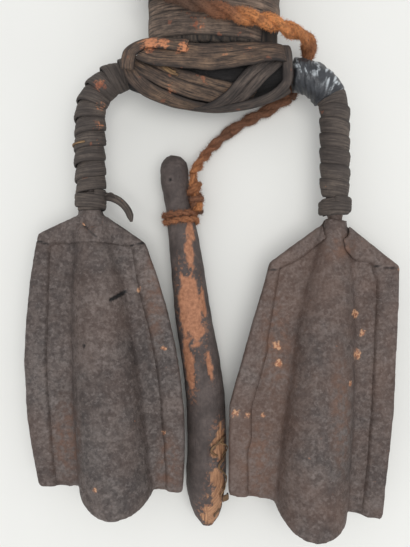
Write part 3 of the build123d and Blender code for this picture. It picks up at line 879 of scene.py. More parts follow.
def arch_place(distance):
    """Place on the arch's centre line from the left foot, and the outward direction."""
    if distance < LEFT_LEG:
        return Vector((ARCH_LEFT, LEFT_FOOT + distance, 0)), Vector((-1, 0, 0))
    distance -= LEFT_LEG
    if distance < ARC:
        angle = math.pi - distance / CORNER
        out = Vector((math.cos(angle), math.sin(angle), 0))
        return Vector((ARCH_LEFT + CORNER, -CORNER, 0)) + out * CORNER, out
    distance -= ARC
    if distance < TOP_RUN:
        return Vector((ARCH_LEFT + CORNER + distance, 0, 0)), Vector((0, 1, 0))
    distance -= TOP_RUN
    if distance < ARC:
        angle = math.pi / 2 - distance / CORNER
        out = Vector((math.cos(angle), math.sin(angle), 0))
        return Vector((ARCH_RIGHT - CORNER, -CORNER, 0)) + out * CORNER, out
    return Vector((ARCH_RIGHT, -CORNER - (distance - ARC), 0)), Vector((1, 0, 0))


def round_arch(distance, angle):
    """Place on the arch's centre line, and the direction away from it at an angle round it."""
    place, out = arch_place(distance)
    return place, out * math.cos(angle) + UP * math.sin(angle)


print("arch from foot to foot:", round(LEFT_LEG + 2 * ARC + TOP_RUN - CORNER - RIGHT_FOOT), "mm")

# %% Arm windings
WRAP_SEAT = 5.7
WRAP_THICK = 1.5
WRAP_STEPS = 26
TAPE_START_X = 43.0
TAPE_ANGLE = 64.0
TAPE_END = LEFT_LEG + ARC + TOP_RUN + CORNER * math.radians(TAPE_ANGLE)
UNDER_TAPE = 4.0


def arm_winding(
    name, ends, pitch, width, seed, *, seat=WRAP_SEAT, thick=WRAP_THICK, tilt=0.8, phase=0.0, lumps=0.3
):
    """A strip wound round the arch between two distances along it."""
    start, end = ends
    turns = (end - start) / pitch
    stations = []
    for i in range(int(abs(turns) * WRAP_STEPS) + 1):
        turn = i / WRAP_STEPS
        distance = start + math.copysign(pitch, turns) * turn
        distance += 0.9 * noise.noise(Vector((turn * 1.3, seed, 0)))
        place, radial = round_arch(distance, phase + 2 * math.pi * turn)
        reach = seat + lumps * noise.noise(Vector((turn * 2.1, seed + 4, 1)))
        breadth = width * (1 + 0.12 * noise.noise(Vector((turn * 1.7, seed + 8, 2))))
        stations.append((place + radial * reach, radial, breadth, thick))
    return ribbon(name, stations, ARM_BARK, seed, tilt=tilt)


def leg_distance(side, y):
    """Distance along the arch to a height on one of its legs."""
    return y - LEFT_FOOT if side == "left" else LEFT_LEG + 2 * ARC + TOP_RUN - CORNER - y


left_ends = (leg_distance("left", -62.0), LEFT_LEG + ARC + 1.0)
left_wrap = arm_winding("left_arm_strip", left_ends, 8.1, 10.2, 1, thick=1.6, tilt=1.9, lumps=0.8)
dress(left_wrap, "frame", "arm_bark", "left_arm_wrap")
right_ends = (leg_distance("right", -66.0), TAPE_END - UNDER_TAPE)
right_wrap = arm_winding("right_arm_strip", right_ends, 8.3, 10.4, 2, tilt=1.6)
dress(right_wrap, "frame", "arm_bark", "right_arm_wrap")
print("arm strips:", len(left_wrap.data.polygons), len(right_wrap.data.polygons), "faces")

# %% [markdown]
# Above each bell the strip's end is tied down: about three tight turns and two more wound back over them.
# On the left arm one pale splinter also stands off the winding.

# %% Strip ends knotted above the bells


def joined(name, pieces, finish):
    """Several meshes as one piece."""
    shell = bmesh.new()
    for piece in pieces:
        shell.from_mesh(piece.data)
        bpy.data.objects.remove(piece)
    mesh = bpy.data.meshes.new(name)
    shell.to_mesh(mesh)
    shell.free()
    return new_object(name, mesh, finish)


def end_collar(side, heights, seat, seed):
    low, high = (leg_distance(side, y) for y in heights)
    tight, back = (low + 2.4, high - 2.2), (high - 2.4, low + 2.6)
    turns = [
        arm_winding("turn_a", tight, 2.6, 4.4, seed, seat=seat, thick=1.7, tilt=0.0),
        arm_winding("turn_b", back, 3.1, 4.6, seed + 1, seat=seat + 1.3, thick=1.5, tilt=0.0, phase=2.0),
    ]
    return dress(joined(f"{side}_collar", turns, ARM_BARK), "frame", "arm_bark", f"{side}_end_collar")


LEFT_COLLAR = (-75.4, -62.9)
RIGHT_COLLAR = (-66.9, -78.0)
end_collar("left", LEFT_COLLAR, 5.9, 31)
end_collar("right", RIGHT_COLLAR, 6.3, 35)
SPLINTER_Y, SPLINTER_LIFT, SPLINTER_STEPS = -39.6, 3.5, 12
splinter_stations = []
for i in range(SPLINTER_STEPS + 1):
    place, radial = round_arch(leg_distance("left", SPLINTER_Y) + 0.1 * i, math.radians(-8 + 7.5 * i))
    splinter_stations.append((place + radial * (WRAP_SEAT + SPLINTER_LIFT), radial, 1.2, 0.7))
splinter = ribbon("arm_splinter", splinter_stations, PALE_BARK, 43, ridge=0.05)
dress(splinter, "frame", "arm_bark")
print("collars and splinter made")

# %% [markdown]
# A tail of the left strip hangs out of its collar and bends towards the bells. It is a ribbon on a simple
# bend: a start, an end, and a point that the bend passes halfway. One thin fibre has come off it.

# %% Loose strap at the left bell
STRAP_ROOT = Vector((-60.6, -66.9, 0.0))
STRAP_BOW = Vector((10.6, -4.4, 3.6))
STRAP_END = Vector((15.9, -14.4, 6.0))
STRAP_LEAN = Vector((0.2, 0.25, 0.95)).normalized()
STRAP_WIDTH, STRAP_THICK, STRAP_STEPS = 4.4, 1.6, 24
FIBRE_STEPS = 12


def bowed(bow, end, share):
    """A smooth bend from nothing to end that passes bow halfway."""
    control = bow * 2 - end * 0.5
    return control * (2 * share * (1 - share)) + end * share**2


strap_stations = []
for i in range(STRAP_STEPS + 1):
    share = i / STRAP_STEPS
    width = STRAP_WIDTH * (1.1 - 0.3 * share) * min(1.0, 0.4 + 5 * (1 - share))
    strap_stations.append((STRAP_ROOT + bowed(STRAP_BOW, STRAP_END, share), STRAP_LEAN, width, STRAP_THICK))
fibre_stations = []
for i in range(FIBRE_STEPS + 1):
    place = STRAP_ROOT + Vector((1.0 + 0.55 * i, 0.4 * i - 0.004 * i**3, 4.0))
    fibre_stations.append((place, UP, 0.5, 0.4))
strap_strip = ribbon("strap_strip", strap_stations, ARM_BARK, 41, ridge=0.12)
strap_fibre = ribbon("strap_fibre", fibre_stations, ARM_BARK, 42, ridge=0.02)
strap = joined("strap_end", [strap_strip, strap_fibre], ARM_BARK)
dress(strap, "frame", "arm_bark", "strap_tail")
print("strap faces:", len(strap.data.polygons))

# %% [markdown]
# Black tape hides the right corner of the arch. Wound tape creases where it goes round a bend, and the
# creases shine: that shine is painted into the colour as a highlight on the creases' upper side. The sleeve
# is a tube round the arch line whose radius is pushed in and out by slanted waves.

# %% Tape finish


def fill_tape(tree):
    place = object_place(tree)
    broad = mottle(tree, place, 120.0)
    fine = mottle(tree, place, 700.0)
    # Painted highlight: the shine values stored in the clay attribute turn the creases' upper side pale grey.
    painted_highlight = times(tree, attribute(tree, "clay"), ramp(tree, broad, 0.25, 0.7))
    tone = mix(tree, broad, colour(27, 28, 31), colour(58, 60, 64))
    tone = mix(tree, times(tree, fine, 0.15), tone, colour(84, 88, 92))
    tone = mix(tree, painted_highlight, tone, colour(196, 202, 204))
    rough = rescaled(tree, broad, 0.28, 0.5)
    return {"Base Color": tone, "Roughness": rough, "Normal": bump(tree, fine, 0.3, 0.0004)}


TAPE = material("black_tape", fill_tape)
print("tape finish ready")

# %% Tape sleeve
TAPE_RADIUS = 9.2
TAPE_SHINE = math.radians(62)
TAPE_ROWS, TAPE_SIDES = 70, 56
TAPE_START = LEFT_LEG + ARC + TAPE_START_X - ARCH_LEFT - CORNER
tape_loops, tape_uvs, tape_shine = [], [], []
for row in range(TAPE_ROWS + 1):
    share = row / TAPE_ROWS
    rim = min(1.0, 0.72 + 9 * min(share, 1 - share))
    loop = []
    for k in range(TAPE_SIDES):
        angle = 2 * math.pi * k / TAPE_SIDES
        place, radial = round_arch(TAPE_START + (TAPE_END - TAPE_START) * share, angle)
        slant = share * 7 + 2.4 * math.sin(angle + 0.7)
        crease = noise.noise(Vector((slant * 1.6, math.cos(angle) * 1.5, math.sin(angle) * 1.5)))
        small = noise.noise(Vector((slant * 4.2 + 9, math.cos(angle) * 1.9, math.sin(angle) * 1.9)))
        reach = TAPE_RADIUS * rim + 0.8 * crease + 0.55 * small
        loop.append(place + radial * reach)
        tape_uvs.append((angle * reach * MM, share * 0.04))
        # Painted highlight, strongest on the upper side of the sleeve and on the crease crests.
        bright = max(0.0, math.cos(angle - TAPE_SHINE)) ** 3
        tape_shine.append(min(1.0, max(0.0, 3.0 * crease + 2.4 * small - 0.1)) * bright)
    tape_loops.append(loop)
tape = skin("tape_sleeve_wrinkled", tape_loops, TAPE, tape_uvs, tape_shine)
dress(tape, "frame", "tape", "tape_sleeve")
print("tape faces:", len(tape.data.polygons))

# %% [markdown]
# The handle is a thick oval bundle with a flat bark band wound round it. The band is one ribbon again, on an
# oval instead of the arch.

# %% Handle's band
CORE_HALF_WIDTH, CORE_HALF_DEPTH = 34.85, 19.85
BAND_LOW, BAND_HIGH, BAND_TURNS, BAND_PITCH, BAND_WIDTH = 12.5, 105.0, 7.37, 12.3, 13.4
BAND_SEAT, BAND_THICK = 0.35, 1.15
BAND_STEPS = 64


def oval_place(angle, lift, y):
    """A place off the handle's side and the outward direction there."""
    normal = Vector((math.cos(angle) / CORE_HALF_WIDTH, 0, math.sin(angle) / CORE_HALF_DEPTH)).normalized()
    place = Vector((CORE_HALF_WIDTH * math.cos(angle), y, CORE_HALF_DEPTH * math.sin(angle)))
    return place + normal * lift, normal


band_stations = []
for i in range(round(BAND_TURNS * BAND_STEPS) + 1):
    turn = i / BAND_STEPS
    angle = math.pi - 2 * math.pi * turn
    middle = BAND_LOW + BAND_WIDTH / 2 + BAND_PITCH * (BAND_TURNS - turn)
    middle += 0.8 * noise.noise(Vector((turn * 1.4, 3, 7)))
    place, outward = oval_place(angle, BAND_SEAT, min(middle, BAND_HIGH))
    band_stations.append((place, outward, BAND_WIDTH, BAND_THICK))
band = ribbon("handle_band", band_stations, BAND_BARK, 51, ridge=0.2, tilt=-0.5, ragged=0.05)
dress(band, "frame", "handle_bark", "handle_binding")
print("band faces:", len(band.data.polygons))

# %% Handle's core
CORE_VOXEL = 1.4


def fill_bundle(tree):
    place = object_place(tree)
    inputs = {0: place, 1: (1.0, 0.06, 1.0)}
    flat = put(tree, "ShaderNodeVectorMath", inputs, operation="MULTIPLY").outputs[0]
    inputs = {"Vector": flat, "Scale": 130.0}
    sticks = put(tree, "ShaderNodeTexVoronoi", inputs, feature="DISTANCE_TO_EDGE").outputs[0]
    fibre = streaks(tree, place, 0.05, 900.0)
    tone = mix(tree, fibre, colour(40, 34, 30), colour(78, 66, 56))
    # The gaps between the sticks are painted near black as the shade in them.
    tone = mix(tree, ramp(tree, sticks, 0.0, 0.12), colour(22, 18, 16), tone)
    return {"Base Color": tone, "Normal": bump(tree, ramp(tree, sticks, 0.0, 0.25), 0.8, 0.0015)}


BUNDLE = material("handle_bundle", fill_bundle, Roughness=0.85)
core_mesh = remeshed("handle_core", CORE_VOXEL)
softened(core_mesh, 3)
core = new_object("handle_bundle", core_mesh, BUNDLE)
dress(core, "frame", "handle_wood", "handle_core")
print("core faces:", len(core_mesh.polygons))

# %% [markdown]
# The lashing is a nest of crossed strips round the middle of the arch. It swells in the middle like a
# spindle. A strip's course is told by its place along the nest and its angle round it: 0 is the front, 90
# degrees the side towards the bells. A third number lifts the strip there by a share of a layer. Strips from
# the right lie on those from the left.

# %% Courses on the nest
NEST_LEFT, NEST_RIGHT = -47.0, 41.0
NEST_POLE, NEST_MIDDLE, NEST_FULLNESS = 8.2, 15.6, 0.9
LAYER = 2.5
LASH_STEPS = 90


def nest_swell(x):
    share = (2 * x - NEST_LEFT - NEST_RIGHT) / (NEST_RIGHT - NEST_LEFT)
    return max(0.0, 1 - share * share) ** NEST_FULLNESS


def nest_radius(x):
    return NEST_POLE + (NEST_MIDDLE - NEST_POLE) * nest_swell(x)


def smooth_course(points):
    """A course through a row of places, smooth in between."""
    last = len(points) - 1

    def course(share):
        i = min(int(share * last), last - 1)
        t = share * last - i
        a, b, c, d = (points[max(0, min(last, k))] for k in (i - 1, i, i + 1, i + 2))
        return tuple(
            q + t * (r - p + t * (2 * p - 5 * q + 4 * r - s + t * (3 * (q - r) + s - p))) / 2
            for p, q, r, s in zip(a, b, c, d)
        )

    return course


def off_nest(x, degrees, lift):
    """A place off the nest's axis, and the outward direction there."""
    angle = math.radians(degrees)
    outward = Vector((0, -math.sin(angle), math.cos(angle)))
    return Vector((x, 0, 0)) + outward * (nest_radius(x) + lift), outward


def lash_ribbon(name, points, layer, width, seed, narrowing, finish, ridge=0.3, thick=1.7):
    course = smooth_course(points)
    stations = []
    for i in range(LASH_STEPS + 1):
        x, degrees, *rise = course(i / LASH_STEPS)
        lift = (layer + sum(rise)) * LAYER + 0.25 * noise.noise(Vector((i / 11, seed, 3)))
        breadth = width * (1 - narrowing * (1 - nest_swell(x)))
        stations.append((*off_nest(x, degrees, lift), breadth, thick))
    return ribbon(name, stations, finish, seed, ridge=ridge)


print("nest from", NEST_LEFT, "to", NEST_RIGHT, "mm")

# %% Lashing strips
# Each strip: its name, layer, width and course.
STRIPS = (
    (
        "right_strip_1", 1, 6.4,
        ((33, -30, 0), (25, -4, 0), (18.1, 16, 0), (12.4, 36, 0.2), (6.2, 57, 0.3), (-3, 78, 0.2),
         (-14, 98, -0.4)),
    ),
    (
        "right_strip_2", 1, 6.8,
        ((38, -26, 0), (32.1, -4, 0), (25.1, 20, 0), (18.9, 43, 0), (12.8, 62, 0.2), (2.5, 83, 0.2),
         (-9, 104, -0.4)),
    ),
    (
        "right_strip_3", 1, 9.6,
        ((40, 52, 0), (35.2, 66, 0), (26.4, 77, 0), (17, 86, 0), (6, 97, 0), (-8, 112, -0.4)),
    ),
    (
        "left_strip_1", 0, 8.2,
        ((-40, -40), (-36, -21), (-27.9, 2), (-21.7, 16), (-10.2, 29), (-0.8, 38), (8.7, 46), (22, 62)),
    ),
    (
        "left_strip_2", 0.45, 8.8,
        ((-45, -25), (-39.7, -1), (-29.4, 22), (-16.7, 41), (-3.9, 54), (5.7, 65), (20, 82)),
    ),
    (
        "left_strip_3", 0.8, 11.4,
        ((-46, -8), (-43, 20), (-37, 46), (-28.4, 61), (-19.6, 74), (-10.5, 83), (5, 94)),
    ),
    (
        "upper_strip", 2, 14.4,
        ((-39, -30), (-30, -16), (-13.2, -10), (-0.9, -8), (14.6, -14), (27.3, -24), (37.5, -28)),
    ),
    ("rim_strip", 3, 8.0, ((-46, 8), (-45.1, -12), (-43.2, -26), (-35.8, -36), (-25.9, -28), (-14, -21))),
    (
        "side_strip", 2, 7.6,
        ((37.6, -58, 0), (38.2, -30, 0), (38.6, 14, 0), (37.7, 36, 0), (31.5, 56, 0), (22, 68, 0),
         (9.3, 77, -0.3), (-4, 88, -0.7), (-18, 104, -1.4)),
    ),
    ("back_strip", 0, 8.0, ((-10, 176), (4, 172), (18, 172), (33, 178))),
)
NARROWING = {"upper_strip": 0.25, "rim_strip": 0.1}
# Each splinter: its layer, width and course.
SPLINTERS = (
    (0.7, 2.6, ((-31.0, -12), (-26.5, 3), (-22.6, 12), (-20.5, 14))),
    (0.75, 1.1, ((-28.0, -3), (-24.0, 9), (-19.0, 18))),
    (0.7, 0.7, ((-31.0, 20), (-24.0, 31), (-15.0, 42))),
)
for number, (name, layer, width, points) in enumerate(STRIPS):
    finish = DARK_BARK if name.startswith(("right", "side", "back")) else LASH_BARK
    strip = lash_ribbon(name, points, layer, width, 60 + number, NARROWING.get(name, 0.35), finish)
    dress(strip, "frame", "lash_bark", name.replace("_strip", "_lash_strip"))
slivers = []
for number, (layer, width, points) in enumerate(SPLINTERS):
    sliver = lash_ribbon(f"sliver_{number}", points, layer, width, 95 + number, 0.0, PALE_BARK, 0.1, 0.8)
    slivers.append(sliver)
dress(joined("lash_slivers", slivers, PALE_BARK), "frame", "lash_bark")
print("lashing strips:", len(STRIPS), "and slivers:", len(slivers))

# %% [markdown]
# Between the strips one looks into the nest. The inner spindle there and one turn that crosses the window are
# coloured near black: painted shade inside the nest. The spindle has no strip of its own to take a UV map
# from, so its map is laid on from its places.

# %% Inner spindle
NEST_VOXEL = 1.2
RING_X, RING_SINK, RING_WIDTH, RING_THICK = -6.8, 1.4, 8.4, 1.3
nest_mesh = remeshed("lash_core", NEST_VOXEL)
softened(nest_mesh, 2)
store_nothing(nest_mesh, "clay", "edge")
nest_uv = nest_mesh.uv_layers.new(name="strip")
for loop in nest_mesh.loops:
    spot = nest_mesh.vertices[loop.vertex_index].co
    nest_uv.data[loop.index].uv = (spot.y + spot.z, spot.x)
spindle = new_object("inner_spindle", nest_mesh, INNER_BARK_SHADE)
ring_stations = []
for degrees in range(-70, 111, 6):
    ring_stations.append((*off_nest(RING_X, degrees, -RING_SINK), RING_WIDTH, RING_THICK))
ring = ribbon("inner_ring", ring_stations, INNER_BARK_SHADE, 91)
nest = joined("inner_turns", [spindle, ring], INNER_BARK_SHADE)
dress(nest, "frame", "inner_bark", "lash_core")
print("inner spindle faces:", len(nest.data.polygons))

# %% [markdown]
# The arch itself only shows between its windings and at the necks, but it is there, so it gets the same iron
# as the bells.

# %% Arch rod
ROD_VOXEL = 1.0
rod_mesh = remeshed("arch_rod", ROD_VOXEL)
softened(rod_mesh, 2)
store_nothing(rod_mesh, "bloom", "dark", "rust")
rod = new_object("arch_bar", rod_mesh, ROD_IRON)
dress(rod, "frame", "rod_iron", "arch_rod")
print("arch bar faces:", len(rod_mesh.polygons))

# %% [markdown]
# The rope is two yarns laid round each other, of a rough brown fibre. A number stored along it says how it
# looks: 1 is bright orange, 0 is brown, and below 0 it is old and grey. It is old where it comes over the
# handle, orange on the handle's right side, brown below the lashing, and brighter again at the knot.

# %% Rope finish
ROPE_ORANGE = colour(238, 160, 98)
ROPE_BROWN = colour(158, 104, 72)
ROPE_DARK = colour(66, 42, 30)
ROPE_OLD = colour(104, 82, 68)


def fill_rope(tree):
    place = object_place(tree)
    fibre = streaks(tree, strip_place(tree), 0.14, 1500.0)
    broad = mottle(tree, place, 140.0)
    crumb = mottle(tree, place, 900.0)
    age = attribute(tree, "clay")
    tone = mix(tree, times(tree, age, ramp(tree, broad, -0.25, 0.6)), ROPE_BROWN, ROPE_ORANGE)
    tone = mix(tree, times(tree, age, -1.0), tone, ROPE_OLD)
    shade = times(tree, calc(tree, "SUBTRACT", 1.0, crumb), calc(tree, "SUBTRACT", 1.05, fibre))
    tone = mix(tree, times(tree, shade, 0.9), tone, ROPE_DARK)
    return {"Base Color": tone, "Normal": bump(tree, fibre, 0.7, 0.0008)}


ROPE = material("twisted_rope", fill_rope, Roughness=0.95)
print("rope finish ready")

# %% [markdown]
# Loose fibres stand off the yarns. Geometry nodes scatter them: points on the rope's skin, a thin spike on
# each, leaning at random, and everything made real as one mesh. Density, length and seed are the tree's own
# inputs, and so is the finish that it sets.

# %% Loose fibres
FIBRES_PER_SQUARE_METRE = 1_600_000.0
FIBRE_LENGTH = 0.0021
FIBRE_RADIUS = 0.00011
FIBRE_LEAN = (0.9, 0.9, 3.1)
FUZZ_INPUTS = {
    "Geometry": "Geometry",
    "Density": "Float",
    "Length": "Float",
    "Seed": "Int",
    "Finish": "Material",
}


def fuzz_tree():
    tree = bpy.data.node_groups.new("Loose fibres", "GeometryNodeTree")
    for key, kind in FUZZ_INPUTS.items():
        tree.interface.new_socket(key, in_out="INPUT", socket_type=f"NodeSocket{kind}")
    tree.interface.new_socket("Geometry", in_out="OUTPUT", socket_type="NodeSocketGeometry")
    given = tree.nodes.new("NodeGroupInput").outputs
    result = tree.nodes.new("NodeGroupOutput")
    inputs = {"Mesh": given["Geometry"], "Density": given["Density"], "Seed": given["Seed"]}
    points = put(tree, "GeometryNodeDistributePointsOnFaces", inputs)
    inputs = {"Vertices": 3, "Radius Bottom": FIBRE_RADIUS, "Depth": 1.0}
    spike = put(tree, "GeometryNodeMeshCone", inputs)
    inputs = {0: tuple(-value for value in FIBRE_LEAN), 1: FIBRE_LEAN, "Seed": given["Seed"]}
    lean = put(tree, "FunctionNodeRandomValue", inputs, data_type="FLOAT_VECTOR")
    inputs = {0: points.outputs["Rotation"], 1: lean.outputs[0]}
    turned = put(tree, "FunctionNodeRotateRotation", inputs, rotation_space="LOCAL")
    inputs = {2: 0.3, 3: 1.0, "Seed": given["Seed"]}
    reach = put(tree, "FunctionNodeRandomValue", inputs, data_type="FLOAT")
    length = times(tree, reach.outputs[1], given["Length"])
    size = put(tree, "ShaderNodeCombineXYZ", {0: 1.0, 1: 1.0, 2: length})
    inputs = {"Points": points.outputs["Points"], "Instance": spike.outputs["Mesh"]}
    inputs.update({"Rotation": turned.outputs[0], "Scale": size.outputs[0]})
    spikes = put(tree, "GeometryNodeInstanceOnPoints", inputs)
    real = put(tree, "GeometryNodeRealizeInstances", {0: spikes.outputs[0]})
    whole = put(tree, "GeometryNodeJoinGeometry")
    tree.links.new(real.outputs[0], whole.inputs[0])
    tree.links.new(given["Geometry"], whole.inputs[0])
    inputs = {"Geometry": whole.outputs[0], "Material": given["Finish"]}
    dressed = put(tree, "GeometryNodeSetMaterial", inputs)
    tree.links.new(dressed.outputs[0], result.inputs[0])
    return tree


FUZZ = fuzz_tree()
print("fibre tree has", len(FUZZ.nodes), "nodes")

# %% Fibres on a piece
FUZZ_SOCKETS = {item.name: item.identifier for item in FUZZ.interface.items_tree if item.in_out == "INPUT"}


def fuzzy(piece, seed):
    """The piece with loose fibres on it, as a plain mesh."""
    step = piece.modifiers.new("fibres", "NODES")
    step.node_group = FUZZ
    step[FUZZ_SOCKETS["Density"]] = FIBRES_PER_SQUARE_METRE
    step[FUZZ_SOCKETS["Length"]] = FIBRE_LENGTH
    step[FUZZ_SOCKETS["Seed"]] = seed
    step[FUZZ_SOCKETS["Finish"]] = ROPE
    mesh = evaluated_mesh(piece)
    piece.modifiers.remove(step)
    piece.data = mesh
    return piece


print("inputs of the fibre tree:", list(FUZZ_SOCKETS))

# %% [markdown]
# A rope's route is a smooth spline that a few places steer. The spline is read as points an even step apart,
# and each yarn is a tube that turns round those points as it goes, a little uneven in its girth.

# %% Rope's line
ROPE_STEP = 0.55


def route(points):
    """Points along a smooth spline that has the given places, in millimetres, as its control points."""
    line = bpy.data.curves.new("route", "CURVE")
    line.dimensions = "3D"
    line.resolution_u = 14
    spline = line.splines.new("NURBS")
    spline.points.add(len(points) - 1)
    for target, place in zip(spline.points, points):
        target.co = (*place, 1.0)
    spline.order_u = 3
    spline.use_endpoint_u = True
    carrier = bpy.data.objects.new("route", line)
    bpy.context.scene.collection.objects.link(carrier)
    traced = [vertex.co.copy() for vertex in evaluated_mesh(carrier).vertices]
    bpy.data.objects.remove(carrier)
    return traced


def even(points, step):
    """The same line with its points a given step apart."""
    spaced = [points[0]]
    left = step
    for first, second in zip(points, points[1:]):
        run = second - first
        used = 0.0
        while run.length - used >= left:
            used += left
            spaced.append(first + run.normalized() * used)
            left = step
        left -= run.length - used
    spaced.append(points[-1])
    return spaced


print("rope points every", ROPE_STEP, "mm")

# %% Yarns
YARN_SIDES = 12


def carried_frames(line):
    """For each point its place and two directions across the line, carried along without a twist."""
    frames = []
    side = None
    for i, place in enumerate(line):
        along = (line[min(len(line) - 1, i + 1)] - line[max(0, i - 1)]).normalized()
        if side is None:
            side = along.orthogonal().normalized()
        side = (side - along * side.dot(along)).normalized()
        frames.append((place, side, along.cross(side)))
    return frames


def rope(name, points, thickness, freshness, seed, lay=3.4, fuzz=0.3, depth=0.2):
    """Two yarns round a line. thickness and freshness are given for a share of the way along."""
    frames = carried_frames(even(points, ROPE_STEP))
    yarns = []
    for yarn in range(2):
        loops, uvs, fresh = [], [], []
        turn = math.pi * yarn
        for i, (place, side, other) in enumerate(frames):
            share = i / (len(frames) - 1)
            girth = thickness(share)
            turn += 2 * math.pi * ROPE_STEP / (lay * girth)
            centre = place + (side * math.cos(turn) + other * math.sin(turn)) * (girth * depth)
            loop = []
            for k in range(YARN_SIDES):
                angle = 2 * math.pi * k / YARN_SIDES
                spot = Vector((math.cos(angle) * 1.4, math.sin(angle) * 1.4 + seed, i * 0.23 + yarn * 40))
                rough = noise.noise(spot) * 0.6 + noise.noise(spot * 2.7) * 0.5
                reach = girth * (0.5 - depth) * (1 + fuzz * rough)
                loop.append(centre + (side * math.cos(angle) + other * math.sin(angle)) * reach)
                uvs.append(((angle * girth / 4 + 3 * yarn) * MM, i * ROPE_STEP * MM))
                fresh.append(freshness(share))
            loops.append(loop)
        yarns.append(skin(f"{name}_yarn_{yarn}", loops, ROPE, uvs, fresh))
    return fuzzy(joined(name, yarns, ROPE), seed)


def steady(value):
    return lambda share: value


def between(first, last):
    return lambda share: first + (last - first) * share


print("sides of a yarn:", YARN_SIDES)

# %% [markdown]
# The rope comes over the handle, goes behind the arch and the tape, and comes out below the lashing. That far
# it is fixed to the frame. From the joint on it is the free lead, a piece of its own on its own body.

# %% Rope over the handle, below the lashing and to the striker
BAND_ROOM, ROPE_ROOM, ROPE_HALF = 2.15, 0.9, 4.0
ROPE_SEAT = BAND_ROOM + ROPE_ROOM + ROPE_HALF
# Each place on the handle: degrees round it, and y.
TURN_ON_HANDLE = (
    (188, 47.0),
    (170, 45.0),
    (149, 41.0),
    (126, 34.0),
    (105, 28.0),
    (84, 23.8),
    (63, 21.6),
    (43, 21.2),
    (25, 21.0),
)
TURN_PAST_ARCH = (
    (50.6, 18.8, 4.2),
    (53.0, 15.6, -2.6),
    (51.6, 10.4, -9.4),
    (49.2, 4.2, -14.2),
    (46.2, -2.0, -16.6),
)
RUN_POINTS = (
    (43.2, -7.0, -16.8),
    (34.0, -13.6, -17.6),
    (25.0, -18.0, -18.4),
    (16.6, -22.4, -18.2),
    (9.4, -27.0, -18.4),
)
turn_points = [tuple(oval_place(math.radians(angle), ROPE_SEAT, y)[0]) for angle, y in TURN_ON_HANDLE]
turn_points += [*TURN_PAST_ARCH, RUN_POINTS[0]]


def turn_freshness(share):
    return max(-0.9, min(1.0, (share - 0.43) * 9, (0.86 - share) * 5))


def turn_thickness(share):
    return 6.6 + 1.9 * min(1.0, share / 0.5)


rope_turn = rope("rope_over_handle", route(turn_points), turn_thickness, turn_freshness, 3)
dress(rope_turn, "frame", "rope_fibre", "rope_turn")
rope_run = rope("rope_along_lashing", route(RUN_POINTS), between(7.6, 6.2), steady(-0.4), 5)
dress(rope_run, "frame", "rope_fibre", "rope_run")
lead_line = route(LEAD_POINTS)
rope_lead = rope("rope_lead_free", lead_line, between(6.2, 5.2), between(-0.6, 0.5), 7)
dress(rope_lead, "rope", "rope_fibre", "rope_lead")

# %% [markdown]
# The striker is a crooked stick with most of its bark on. Where the bark has come off, the wood below is tan,
# and near the tip it is pale and frayed. Peeled places are really lower than the bark: the same mask that
# colours them also takes half a millimetre off the stick.

# %% Striker's line
# Each row: x, y, radius, and the height of the middle above the table.
STRIKER = (
    (-21.6, -43.2, 3.4, 13.6),
    (-22.0, -46.6, 7.0, 13.4),
    (-22.2, -54.0, 8.3, 13.0),
    (-20.2, -70.5, 7.6, 12.1),
    (-17.0, -90.0, 8.8, 12.9),
    (-14.0, -114.0, 9.8, 12.7),
    (-10.8, -139.0, 10.6, 12.5),
    (-6.9, -161.0, 11.0, 12.4),
    (-4.7, -181.0, 11.2, 12.3),
    (-4.0, -206.0, 11.3, 12.2),
    (-4.5, -228.0, 11.3, 12.0),
    (-3.8, -243.0, 8.2, 11.8),
    (-3.6, -251.0, 3.2, 11.8),
)
FLOOR_DEPTH = 22.0
striker_line = smooth_course(STRIKER)
PEELED = (
    (0.36, -0.3, 0.03, 0.32),
    (0.465, 0.1, 0.068, 0.72),
    (0.58, 0.7, 0.06, 0.34),
    (0.583, -0.47, 0.03, 0.16),
    (0.46, -0.75, 0.03, 0.2),
    (0.315, -0.65, 0.022, 0.3),
)
FRAYED = ((0.742, -0.8, 0.035, 0.45), (0.86, -0.75, 0.09, 0.55), (0.93, -0.4, 0.06, 0.9))


def striker_frame(share):
    def centre(way):
        x, y, radius, height = striker_line(max(0.0, min(1.0, way)))
        return Vector((x, y, height - FLOOR_DEPTH)), radius

    place, radius = centre(share)
    along = (centre(share + 0.02)[0] - centre(share - 0.02)[0]).normalized()
    across = along.cross(UP).normalized()
    return place, radius, along, across


def patches(share, angle, marks):
    """How far inside the nearest mark a place is. A mark is share, angle, length and width."""
    most = -1.0
    for mark_share, mark_angle, length, width in marks:
        turn = (angle - mark_angle + math.pi) % (2 * math.pi) - math.pi
        most = max(most, 1 - math.hypot((share - mark_share) / length, turn / width))
    return most


def clamped(value):
    return max(0.0, min(1.0, value))


print("striker has", len(PEELED), "peeled and", len(FRAYED), "frayed places")

# %% Striker's finish


def fill_stick(tree):
    place = object_place(tree)
    fibre = streaks(tree, strip_place(tree), 0.08, 900.0)
    broad = mottle(tree, place, 90.0)
    fine = mottle(tree, place, 500.0)
    flecks = times(tree, specks(tree, place, 520.0, 0.46), attribute(tree, "fleck"))
    tan = mix(tree, fine, colour(146, 98, 71), colour(184, 128, 95))
    pale = mix(tree, fibre, colour(112, 74, 52), colour(204, 154, 114))
    tone = mix(tree, broad, colour(70, 60, 56), colour(98, 86, 81))
    tone = mix(tree, times(tree, fine, 0.45), tone, colour(44, 37, 35))
    tone = mix(tree, calc(tree, "MAXIMUM", attribute(tree, "clay"), times(tree, flecks, 0.7)), tone, tan)
    tone = mix(tree, attribute(tree, "fray"), tone, pale)
    # The pit near the head is sunk and painted near black as the shade inside it.
    tone = mix(tree, attribute(tree, "pit"), tone, colour(20, 16, 15))
    return {"Base Color": tone, "Normal": bump(tree, calc(tree, "ADD", fine, fibre), 0.4, 0.0006)}


STICK = material("striker_bark", fill_stick, Roughness=0.72)
print("striker finish ready")

